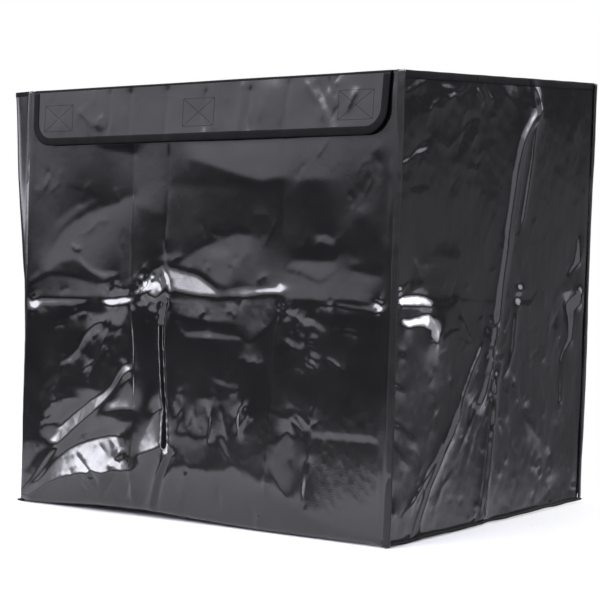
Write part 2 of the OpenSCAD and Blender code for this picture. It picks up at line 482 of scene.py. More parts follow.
class Nodes:
    def __init__(self, name):
        self.m = bpy.data.materials.new(name)
        self.m.use_nodes = True
        self.t = self.m.node_tree
        self.b = self.t.nodes["Principled BSDF"]
        self.out = self.t.nodes["Material Output"]
        self.x = -200

    def add(self, kind, **kw):
        n = self.t.nodes.new(kind)
        self.x -= 40
        n.location = (self.x, 0)
        for k, v in kw.items():
            setattr(n, k, v)
        return n

    def link(self, a, b):
        self.t.links.new(a, b)

    def math(self, op, a, b=None, c=None):
        n = self.add("ShaderNodeMath", operation=op)
        for i, v in enumerate((a, b, c)):
            if v is None:
                continue
            if hasattr(v, "default_value") or hasattr(v, "is_linked"):
                self.link(v, n.inputs[i])
            else:
                n.inputs[i].default_value = v
        return n.outputs[0]

    def ramp(self, fac, stops):
        n = self.add("ShaderNodeValToRGB")
        r = n.color_ramp
        while len(r.elements) < len(stops):
            r.elements.new(0.5)
        for e, (p, c) in zip(r.elements, stops):
            e.position = p
            e.color = (*c, 1) if hasattr(c, "__len__") else (c, c, c, 1)
        self.link(fac, n.inputs[0])
        return n.outputs[0]

    def noise(self, vec, scale, detail=2.0, rough=0.5, distortion=0.0):
        n = self.add("ShaderNodeTexNoise")
        n.inputs["Scale"].default_value = scale
        n.inputs["Detail"].default_value = detail
        n.inputs["Roughness"].default_value = rough
        n.inputs["Distortion"].default_value = distortion
        self.link(vec, n.inputs["Vector"])
        return n.outputs[0]


def uv_parts(N):
    c = N.add("ShaderNodeTexCoord")
    s = N.add("ShaderNodeSeparateXYZ")
    N.link(c.outputs["UV"], s.inputs[0])
    return c.outputs["UV"], c.outputs["Object"], s.outputs[0], s.outputs[1]


def vinyl(name, base, tint, rough_lo, rough_hi, scrim, spec=0.5):
    """Coated scrim cloth: a soft vinyl film over an open weave that shows through faintly."""
    N = Nodes(name)
    uv, obj, u, v = uv_parts(N)
    # the weave under the film, 2.7 mm apart
    k = 2 * math.pi / 0.0027
    wu = N.math("SINE", N.math("MULTIPLY", u, k))
    wv = N.math("SINE", N.math("MULTIPLY", v, k))
    weave = N.math("ADD", N.math("MULTIPLY", wu, 0.5), N.math("MULTIPLY", wv, 0.5))
    broad = N.noise(obj, 9.0, 3.0, 0.55)
    fine = N.noise(obj, 420.0, 2.0, 0.6)
    grain = N.noise(obj, 1600.0, 1.0, 0.5)
    patch = N.noise(obj, 30.0, 2.0, 0.5)
    shade = N.math("ADD", N.math("MULTIPLY", broad, 0.7), N.math("MULTIPLY", patch, 0.3))
    col = N.ramp(shade, [(0.3, [base * t * 0.82 for t in tint]), (0.7, [base * t * 1.18 for t in tint])])
    N.link(col, N.b.inputs["Base Color"])
    r = N.math("ADD", N.math("MULTIPLY", N.math("SUBTRACT", shade, 0.3), (rough_hi - rough_lo) * 2.0), rough_lo)
    r = N.math("ADD", r, N.math("MULTIPLY", N.math("SUBTRACT", fine, 0.5), 0.05))
    r = N.math("MINIMUM", N.math("MAXIMUM", r, rough_lo * 0.8), rough_hi * 1.25)
    N.link(r, N.b.inputs["Roughness"])
    N.b.inputs["Specular IOR Level"].default_value = spec
    N.b.inputs["IOR"].default_value = 1.5
    h = N.math("MULTIPLY", N.math("MULTIPLY", weave, N.math("MULTIPLY", patch, 2.0)), scrim)
    h = N.math("ADD", h, N.math("MULTIPLY", fine, 0.035))
    h = N.math("ADD", h, N.math("MULTIPLY", grain, 0.006))
    bp = N.add("ShaderNodeBump")
    bp.inputs["Strength"].default_value = 1.0
    bp.inputs["Distance"].default_value = 0.001
    N.link(h, bp.inputs["Height"])
    N.link(bp.outputs[0], N.b.inputs["Normal"])
    return N.m


def tape_material(name, base):
    """Woven binding tape: fine ribs across its length."""
    N = Nodes(name)
    uv, obj, u, v = uv_parts(N)
    rib = N.math("SINE", N.math("MULTIPLY", u, 2 * math.pi / 0.0011))
    cross = N.math("SINE", N.math("MULTIPLY", v, 2 * math.pi / 0.0008))
    fuzz = N.noise(obj, 900.0, 3.0, 0.65)
    wear = N.noise(obj, 40.0, 3.0, 0.6)
    col = N.ramp(N.math("ADD", N.math("MULTIPLY", wear, 0.6), N.math("MULTIPLY", fuzz, 0.4)),
                 [(0.3, [base * 0.7, base * 0.7, base * 0.72]), (0.72, [base * 1.5, base * 1.5, base * 1.6])])
    N.link(col, N.b.inputs["Base Color"])
    rr = N.ramp(fuzz, [(0.3, 0.5), (0.7, 0.72)])
    N.link(rr, N.b.inputs["Roughness"])
    N.b.inputs["IOR"].default_value = 1.16
    N.b.inputs["Specular IOR Level"].default_value = 0.26
    h = N.math("ADD", N.math("MULTIPLY", rib, 0.06), N.math("MULTIPLY", N.math("MULTIPLY", cross, rib), 0.03))
    h = N.math("ADD", h, N.math("MULTIPLY", fuzz, 0.08))
    bp = N.add("ShaderNodeBump")
    bp.inputs["Strength"].default_value = 1.0
    bp.inputs["Distance"].default_value = 0.001
    N.link(h, bp.inputs["Height"])
    N.link(bp.outputs[0], N.b.inputs["Normal"])
    return N.m


def pile_material(name, base, scale, depth):
    """Hook or loop tape."""
    N = Nodes(name)
    c = N.add("ShaderNodeTexCoord")
    vor = N.add("ShaderNodeTexVoronoi")
    vor.inputs["Scale"].default_value = scale
    N.link(c.outputs["Object"], vor.inputs["Vector"])
    fuzz = N.noise(c.outputs["Object"], 1500.0, 3.0, 0.7)
    col = N.ramp(vor.outputs["Distance"], [(0.0, [base * 2.0] * 3), (0.8, [base * 0.5] * 3)])
    N.link(col, N.b.inputs["Base Color"])
    N.link(N.ramp(fuzz, [(0.3, 0.65), (0.7, 0.9)]), N.b.inputs["Roughness"])
    N.b.inputs["Sheen Weight"].default_value = 0.3
    N.b.inputs["Specular IOR Level"].default_value = 0.25
    h = N.math("ADD", N.math("MULTIPLY", vor.outputs["Distance"], -depth), N.math("MULTIPLY", fuzz, depth * 0.5))
    bp = N.add("ShaderNodeBump")
    bp.inputs["Distance"].default_value = 0.001
    N.link(h, bp.inputs["Height"])
    N.link(bp.outputs[0], N.b.inputs["Normal"])
    return N.m


M_VINYL = vinyl("coated_cloth", 0.0032, (0.97, 0.97, 1.05), 0.12, 0.18, 0.003, 0.65)
M_INNER = vinyl("coated_cloth_inner", 0.016, (0.98, 0.99, 1.05), 0.28, 0.4, 0.03)
# a copy of the cloth for the flap's rim, with almost no reflection and a rougher film: painted shade, so the rim shows
# as a dark line
M_FOLD_SHADE = vinyl("coated_cloth_fold_painted_shade", 0.003, (0.98, 0.99, 1.05), 0.6, 0.7, 0.006, 0.02)
M_TAPE = tape_material("binding_tape", 0.0016)
M_BIND = vinyl("coated_binding", 0.003, (0.97, 0.97, 1.05), 0.2, 0.32, 0.006, 0.33)
M_HOOK = pile_material("hook_tape", 0.01, 900.0, 0.5)
M_LOOP = pile_material("loop_tape", 0.014, 650.0, 0.6)


def thread_material():
    N = Nodes("thread")
    c = N.add("ShaderNodeTexCoord")
    n = N.noise(c.outputs["Object"], 2500.0, 2.0, 0.6)
    N.link(N.ramp(n, [(0.3, [0.0015, 0.0015, 0.0017]), (0.7, [0.006, 0.006, 0.0065])]), N.b.inputs["Base Color"])
    N.link(N.ramp(n, [(0.3, 0.55), (0.7, 0.75)]), N.b.inputs["Roughness"])
    N.b.inputs["IOR"].default_value = 1.2
    bp = N.add("ShaderNodeBump")
    bp.inputs["Distance"].default_value = 0.0004
    N.link(n, bp.inputs["Height"])
    N.link(bp.outputs[0], N.b.inputs["Normal"])
    return N.m


M_THREAD = thread_material()

# ---------------------------------------------------------------- the front wall's folds

# (slope up, slope along, softness, weight, outline in mm from the wall's middle and the floor)
FRONT_FACETS = [
    (0.0, 0, 10, 0.75, [(-290, 40), (290, 40), (290, 266), (-290, 266)]),
    (0.01, 0, 10, 0.7, [(-290, 292), (290, 292), (290, 540), (-290, 540)]),
    (0.05, 0, 6, 1.3, [(-289, 82), (-288, 136), (-273, 229), (-176, 233), (-110, 235), (-106, 216), (-108, 195), (-130, 181), (-158, 154), (-198, 131), (-233, 107), (-260, 84)]),
    (0.06, 0, 4, 1.3, [(-104, 182), (-92, 132), (-87, 102), (-118, 98), (-156, 93), (-205, 79), (-230, 63), (-258, 31), (-279, 19), (-288, 42), (-263, 68), (-223, 84), (-188, 105), (-163, 128), (-137, 147), (-121, 166)]),
    (0.05, 0, 4, 1.2, [(-100, 248), (-56, 250), (-52, 143), (-68, 134), (-83, 87), (-94, 96)]),
    (0.035, 0, 10.0, 0.5, [(-283, 474), (-57, 471), (-53, 412), (-62, 400), (-96, 394), (-157, 393), (-192, 382), (-231, 359), (-251, 329), (-258, 308), (-287, 290), (-289, 401)]),
    (0.13, 0, 5.0, 0.7, [(-247, 309), (-254, 308), (-251, 329), (-241, 345), (-231, 359), (-213, 372), (-192, 382), (-173, 385), (-157, 393), (-144, 394), (-123, 403), (-108, 405), (-103, 294), (-122, 287), (-152, 295), (-175, 308), (-190, 320), (-204, 325), (-233, 320)]),
    (0.24, 0, 2.5, 1, [(-197, 328), (-186, 321), (-175, 313), (-158, 308), (-130, 309), (-133, 303), (-154, 302), (-175, 308), (-190, 317), (-199, 326)]),
    (-0.02, 0, 4.0, 0.6, [(-219, 420), (-201, 416), (-179, 413), (-165, 405), (-154, 395), (-164, 393), (-174, 403), (-186, 411), (-211, 414)]),
    (0.09, 0, 5.0, 0.6, [(-242, 372), (-217, 390), (-182, 403), (-168, 400), (-192, 390), (-224, 372), (-238, 359)]),
    (-0.16, 0, 5, 1.1, [(-294, 286), (-283, 291), (-254, 304), (-232, 305), (-200, 301), (-178, 296), (-160, 290), (-139, 285), (-118, 283), (-106, 279), (-111, 276), (-142, 274), (-160, 276), (-231, 273), (-286, 272)]),
    (0.17, 0, 1.6, 1.2, [(-280, 270), (-184, 273), (-188, 267), (-212, 264), (-258, 264), (-271, 261), (-280, 261)]),
    (0.36, 0.05, 1.2, 1.5, [(-282, 270), (-271, 269), (-271, 261), (-276, 256), (-281, 252), (-284, 262)]),
    (0.38, 0, 1.2, 1.5, [(-160, 271), (-146, 274), (-132, 275), (-122, 278), (-113, 277), (-106, 274), (-114, 269), (-128, 266), (-145, 265), (-152, 268)]),
    (-0.15, 0.03, 4, 1.1, [(-164, 249), (-159, 253), (-142, 258), (-124, 262), (-108, 266), (-114, 258), (-120, 248), (-129, 241), (-144, 240), (-158, 244)]),
    (0.1, 0, 3.0, 0.7, [(-209, 258), (-187, 264), (-163, 264), (-170, 258), (-194, 253)]),
    (-0.035, 0, 8.0, 0.5, [(-289, 253), (-177, 256), (-165, 244), (-186, 226), (-220, 192), (-227, 186), (-252, 175), (-273, 143), (-290, 95), (-299, 135), (-293, 229)]),
    (0.32, -0.05, 1.8, 1.2, [(-176, 239), (-162, 244), (-156, 226), (-168, 229), (-179, 221), (-189, 210), (-197, 198), (-209, 189), (-224, 188), (-215, 196), (-203, 206), (-193, 219), (-186, 230)]),
    (0.24, 0, 1.5, 1, [(-140, 227), (-130, 237), (-122, 239), (-128, 230), (-137, 220), (-143, 217)]),
    (0.18, 0, 1.5, 1, [(-151, 235), (-146, 235), (-144, 221), (-149, 221)]),
    (0.09, 0.05, 4.0, 0.6, [(-171, 218), (-157, 218), (-152, 172), (-169, 163), (-178, 194)]),
    (0.16, 0, 2.0, 0.9, [(-139, 193), (-132, 200), (-119, 204), (-115, 198), (-129, 194), (-137, 188)]),
    (0.12, -0.03, 4.0, 0.8, [(-269, 131), (-272, 123), (-258, 141), (-245, 159), (-227, 165), (-231, 174), (-245, 171), (-259, 156)]),
    (0.09, 0, 5.0, 0.7, [(-227, 168), (-190, 154), (-158, 152), (-165, 143), (-186, 139), (-208, 151)]),
    (-0.02, 0, 4.0, 0.5, [(-243, 133), (-222, 142), (-182, 138), (-207, 126), (-239, 107), (-261, 103), (-258, 121)]),
    (0.4, -0.24, 1.4, 1.6, [(-123, 189), (-115, 192), (-106, 187), (-108, 183), (-118, 176), (-127, 163), (-141, 148), (-154, 137), (-168, 126), (-185, 114), (-202, 102), (-216, 90), (-230, 80), (-245, 85), (-247, 96), (-231, 103), (-214, 116), (-196, 129), (-176, 142), (-155, 151), (-138, 163), (-130, 177)]),
    (0.2, -0.05, 4.0, 0.8, [(-264, 97), (-242, 105), (-231, 99), (-242, 84), (-256, 88)]),
    (0.03, 0.05, 1.6, 1.2, [(-108, 182), (-117, 169), (-134, 152), (-147, 139), (-159, 128), (-174, 111), (-191, 94), (-205, 79), (-223, 63), (-240, 47), (-254, 33), (-267, 24), (-270, 22), (-255, 42), (-241, 59), (-230, 73), (-216, 87), (-199, 102), (-178, 116), (-161, 132), (-144, 147), (-131, 162), (-121, 176)]),
    (0.33, -0.02, 1.8, 1.3, [(-111, 174), (-101, 157), (-94, 135), (-113, 135), (-133, 132), (-143, 129), (-140, 139), (-123, 148), (-117, 161)]),
    (0.14, 0, 2.0, 0.8, [(-154, 124), (-143, 121), (-119, 119), (-119, 114), (-139, 115), (-150, 113)]),
    (0.12, -0.05, 2.5, 0.8, [(-171, 104), (-157, 112), (-154, 128), (-168, 119), (-181, 100)]),
    (0.03, 0, 3.0, 0.9, [(-177, 94), (-146, 111), (-95, 119), (-95, 109), (-118, 104), (-156, 98)]),
    (0.37, -0.03, 1.6, 1.5, [(-290, 14), (-276, 24), (-258, 31), (-244, 43), (-226, 62), (-209, 76), (-191, 84), (-173, 89), (-156, 94), (-135, 98), (-121, 98), (-119, 87), (-126, 75), (-118, 64), (-120, 55), (-137, 48), (-158, 50), (-165, 47), (-179, 46), (-196, 42), (-218, 36), (-239, 28), (-257, 18), (-275, 8), (-288, 3)]),
    (0.3, 0, 1.4, 1.2, [(-115, 68), (-103, 70), (-98, 63), (-94, 57), (-109, 54), (-116, 56)]),
    (0.34, 0, 1.2, 1.2, [(-171, 37), (-165, 43), (-154, 42), (-145, 40), (-157, 36)]),
    (0.3, -0.1, 1.8, 1.1, [(-292, 15), (-283, 26), (-269, 38), (-255, 55), (-241, 70), (-227, 76), (-241, 62), (-251, 48), (-262, 34), (-276, 22), (-287, 10)]),
    (0.1, 0, 2.0, 0.7, [(-118, 97), (-97, 96), (-93, 77), (-113, 69), (-121, 82)]),
    (-0.11, 0, 3.4, 1.1, [(-279, 3), (-221, 29), (-179, 42), (-154, 39), (-140, 43), (-120, 50), (-92, 54), (-66, 69), (-43, 84), (-65, 35), (-75, 9), (-154, 9), (-247, 2)]),
    (0.34, -0.1, 1.5, 1.4, [(-65, 131), (-55, 139), (-52, 137), (-52, 99), (-48, 90), (-66, 83), (-81, 78), (-79, 92), (-74, 113)]),
    (0.14, -0.05, 3.0, 0.8, [(-83, 211), (-72, 220), (-65, 224), (-68, 209), (-74, 184), (-69, 159), (-78, 154), (-80, 180)]),
    (0.3, 0, 1.2, 1.1, [(-78, 244), (-70, 249), (-63, 255), (-60, 251), (-69, 243), (-76, 242)]),
    (0.16, 0, 1.5, 0.9, [(-85, 251), (-78, 254), (-76, 243), (-83, 241)]),
    (-0.2, 0, 2.55, 1, [(-77, 269), (-62, 271), (-56, 275), (-58, 260), (-67, 257), (-73, 259)]),
    (-0.14, 0, 3.4, 0.9, [(-103, 272), (-74, 274), (-77, 267), (-90, 263), (-102, 266)]),
    (0.02, 0, 4.0, 0.6, [(-97, 261), (-77, 264), (-56, 250), (-52, 147), (-69, 136), (-83, 84), (-91, 147), (-99, 223)]),
    (0.3, 0, 1.6, 1, [(-98, 281), (-92, 292), (-78, 302), (-72, 312), (-59, 316), (-50, 306), (-48, 294), (-54, 285), (-61, 277), (-74, 283), (-88, 285)]),
    (-0.03, 0, 5.0, 0.5, [(-104, 394), (-78, 385), (-55, 381), (-59, 331), (-76, 322), (-100, 293), (-106, 349)]),
    (0.05, 0, 6.0, 0.6, [(-50, 417), (85, 415), (87, 362), (56, 361), (29, 352), (6, 344), (-10, 334), (-39, 321), (-48, 327), (-51, 356), (-45, 385)]),
    (0.13, 0, 4.0, 0.7, [(6, 340), (29, 349), (62, 359), (84, 356), (83, 336), (70, 327), (58, 314), (52, 296), (33, 300), (10, 310), (-14, 316), (-36, 320), (-17, 329)]),
    (0.2, 0, 3.0, 0.8, [(14, 340), (41, 343), (54, 336), (41, 326), (19, 328)]),
    (0.04, 0.03, 5.0, 0.5, [(70, 322), (85, 336), (103, 348), (114, 363), (116, 413), (131, 413), (129, 351), (126, 299), (105, 296), (86, 298), (67, 302)]),
    (-0.03, 0, 3.0, 0.6, [(89, 381), (108, 381), (111, 360), (97, 351), (87, 358)]),
    (0.215, 0.04, 3.0, 1.3, [(-32, 305), (-16, 311), (4, 306), (20, 298), (35, 289), (40, 283), (16, 282), (-8, 284), (-25, 287), (-35, 290)]),
    (0.22, 0.1, 3.0, 1, [(-49, 315), (-32, 313), (-19, 307), (-32, 295), (-36, 285), (-45, 290)]),
    (0.16, 0, 1.5, 1, [(55, 289), (79, 294), (96, 292), (96, 285), (71, 282), (56, 284)]),
    (0.25, 0, 1.4, 1.4, [(97, 292), (117, 294), (131, 293), (136, 289), (117, 288), (98, 287)]),
    (-0.14, 0, 5, 1.1, [(-41, 279), (8, 278), (79, 280), (137, 287), (139, 281), (131, 263), (119, 250), (104, 238), (92, 229), (83, 227), (75, 234), (68, 245), (60, 250), (33, 249), (9, 251), (-17, 254), (-44, 273)]),
    (0.11, 0, 1.5, 1, [(-16, 236), (10, 238), (73, 234), (75, 229), (10, 230), (-16, 230)]),
    (0.12, 0, 1.4, 0.9, [(-33, 251), (-23, 251), (-15, 235), (-21, 234)]),
    (-0.02, 0, 6.0, 0.4, [(-12, 223), (74, 224), (90, 206), (108, 219), (110, 169), (13, 158), (-33, 163), (-39, 219)]),
    (0.12, 0, 3.0, 0.7, [(31, 182), (47, 180), (66, 174), (60, 170), (41, 175)]),
    (0.2, 0, 2.5, 0.9, [(-34, 112), (-32, 126), (-22, 137), (-15, 134), (-18, 117), (-28, 110)]),
    (0.12, 0.03, 3.0, 0.7, [(-8, 150), (3, 151), (6, 119), (-3, 115)]),
    (0.24, 0.08, 3.0, 1, [(28, 152), (34, 154), (43, 133), (53, 107), (63, 86), (57, 88), (44, 109), (33, 130)]),
    (0.1, 0, 4.0, 0.6, [(48, 153), (69, 154), (64, 140), (52, 139)]),
    (0.18, 0, 1.5, 0.9, [(94, 148), (97, 148), (97, 137), (93, 137)]),
    (0.05, 0, 4.0, 0.9, [(-31, 106), (-1, 106), (31, 101), (54, 86), (73, 82), (55, 68), (24, 68), (-3, 74), (-16, 71), (-32, 58), (-37, 88)]),
    (-0.06, 0, 3.0, 0.9, [(-43, 51), (-29, 55), (-13, 67), (-3, 69), (17, 64), (52, 62), (67, 78), (77, 74), (90, 60), (105, 52), (124, 41), (142, 38), (161, 28), (170, 22), (188, 19), (206, 11), (218, 3), (174, 2), (118, 2), (19, 4), (-55, 7)]),
    (0.06, 0, 3.0, 0.9, [(79, 82), (113, 99), (119, 85), (129, 67), (154, 41), (173, 36), (217, 19), (188, 24), (170, 29), (142, 44), (121, 52), (102, 65)]),
    (0.22, 0.02, 2.5, 1.1, [(127, 86), (132, 101), (142, 118), (147, 126), (155, 114), (157, 97), (153, 88), (159, 73), (161, 55), (156, 43), (146, 54), (135, 71)]),
    (0.18, 0, 1.5, 0.9, [(118, 87), (122, 86), (126, 68), (120, 73)]),
    (0.045, 0, 7.0, 0.5, [(140, 471), (279, 472), (286, 443), (282, 397), (263, 380), (235, 380), (216, 421), (157, 422)]),
    (-0.03, 0, 5.0, 0.6, [(157, 421), (190, 422), (205, 398), (215, 369), (202, 326), (164, 323), (143, 339), (140, 398)]),
    (0.12, 0.06, 3.0, 0.9, [(268, 445), (273, 437), (259, 407), (238, 375), (221, 354), (214, 353), (225, 378), (245, 406), (258, 427)]),
    (-0.03, 0, 4.0, 0.6, [(242, 414), (255, 434), (263, 454), (269, 454), (261, 429), (248, 407)]),
    (0.05, 0.06, 4.0, 0.6, [(270, 420), (287, 422), (281, 352), (270, 352)]),
    (0.1, 0, 3.0, 0.8, [(184, 356), (198, 358), (213, 352), (207, 345), (193, 347)]),
    (0.13, 0, 6.0, 0.5, [(149, 325), (205, 326), (226, 340), (248, 327), (237, 320), (217, 315), (192, 304), (162, 314), (143, 318)]),
    (0.09, 0, 3.5, 1.2, [(139, 313), (162, 310), (177, 304), (192, 300), (203, 305), (213, 314), (227, 319), (246, 315), (260, 312), (276, 311), (277, 280), (236, 281), (207, 282), (178, 282), (142, 282)]),
    (0.14, 0, 1.5, 0.9, [(216, 279), (236, 278), (276, 274), (273, 271), (236, 273), (219, 275)]),
    (0.36, 0, 1.0, 1.2, [(207, 281), (210, 281), (210, 275), (207, 275)]),
    (0.34, 0, 1.0, 1.2, [(270, 274), (277, 280), (279, 270), (272, 268)]),
    (-0.14, 0, 4, 1.0, [(138, 270), (151, 267), (166, 274), (178, 268), (177, 260), (190, 258), (204, 247), (203, 240), (191, 246), (182, 251), (167, 248), (158, 244), (149, 255), (140, 259)]),
    (-0.14, 0, 3.4, 0.9, [(139, 238), (150, 235), (165, 228), (182, 245), (193, 239), (177, 233), (165, 221), (150, 222)]),
    (0.16, 0, 2.0, 0.9, [(172, 227), (187, 226), (202, 216), (217, 209), (233, 204), (225, 201), (203, 206), (183, 213)]),
    (-0.015, 0, 8.0, 0.4, [(208, 259), (276, 261), (276, 123), (213, 130), (196, 188)]),
    (0.14, 0, 2.0, 0.9, [(156, 142), (162, 142), (172, 128), (184, 119), (177, 117), (165, 127)]),
    (0.12, 0, 2.0, 0.8, [(137, 143), (150, 151), (158, 148), (148, 138)]),
    (0.12, 0, 2.0, 0.8, [(182, 124), (192, 134), (201, 142), (197, 132), (187, 122)]),
    (0.24, 0, 1.4, 1, [(162, 36), (172, 48), (175, 42), (168, 33)]),
    (0.05, 0, 8.0, 0.5, [(187, 117), (276, 123), (278, 8), (250, 5), (231, 44), (204, 59), (190, 56)]),
    (0.13, 0, 5.0, 0.6, [(-19, 471), (131, 472), (133, 427), (100, 422), (62, 430), (1, 448), (-15, 451)]),
    (-0.04, 0, 4.0, 0.6, [(-171, 470), (-99, 472), (-105, 458), (-139, 462)]),
    (-0.04, 0, 4.0, 0.6, [(-280, 414), (-269, 414), (-269, 309), (-283, 302)]),
    (0.06, 0, 6, 1.8, [(112, 104), (121, 84), (132, 66), (156, 42), (176, 34), (217, 19), (250, 4), (280, 2), (282, 122), (187, 122)]),
    (0.03, 0, 8, 1.5, [(172, 205), (282, 212), (282, 122), (187, 122)]),
    (0.015, 0, 8, 1.0, [(208, 259), (280, 261), (282, 205), (190, 200)]),
    (-0.075, 0, 5, 1.1, [(-38, 162), (20, 156), (62, 158), (70, 128), (40, 104), (-31, 108)]),
    (0.22, 0.02, 2.5, 1.3, [(127, 86), (132, 101), (142, 118), (147, 126), (155, 114), (157, 97), (153, 88), (159, 73), (161, 55), (156, 43), (146, 54), (135, 71)]),
    (0.0, 0.43, 1, 1.3, [(175, 89), (182, 94), (183, 75), (181, 57), (181, 39), (177, 36), (175, 51), (174, 68)]),
    (0.05, -0.46, 0.9, 1.3, [(73, 119), (69, 133), (74, 146), (81, 153), (86, 151), (78, 144), (77, 132), (78, 119)]),
    (0.0, 0.4, 0.9, 1.2, [(79, 120), (83, 133), (87, 139), (88, 134), (84, 121)]),
    (0.34, -0.1, 1, 1.3, [(269, 280), (277, 283), (279, 276), (272, 274)]),
    (0.05, -0.42, 0.9, 1.2, [(23, 105), (27, 124), (30, 142), (33, 141), (32, 120), (28, 103)]),
    (0.05, -0.3, 1.2, 1.0, [(-24, 114), (-27, 129), (-19, 139), (-16, 137), (-20, 122)]),
]

V1_UP = [(-113, 545), (-113, 413), (-111, 349), (-108, 277)]
V1_LO = [(-106, 270), (-100, 217), (-96, 160), (-93, 77), (-91, 10)]
V2_UP = [(-52, 545), (-52, 472), (-51, 412), (-52, 381), (-55, 350), (-51, 322)]
PLEAT = [(-47, 275), (-53, 244), (-53, 219), (-49, 175), (-44, 125), (-38, 90), (-36, 82)]
PLEAT_TAIL = [(-37, 82), (-44, 66), (-52, 49), (-58, 28), (-63, 4)]
V3_UP = [(136, 545), (136, 457), (137, 410), (137, 351), (138, 289)]
V3_LO = [(135, 273), (129, 232), (125, 184), (123, 148), (122, 94), (121, 40)]
FOLD = [(-106, 190), (-118, 178), (-134, 160), (-155, 140), (-189, 117), (-224, 92), (-245, 66), (-268, 30)]


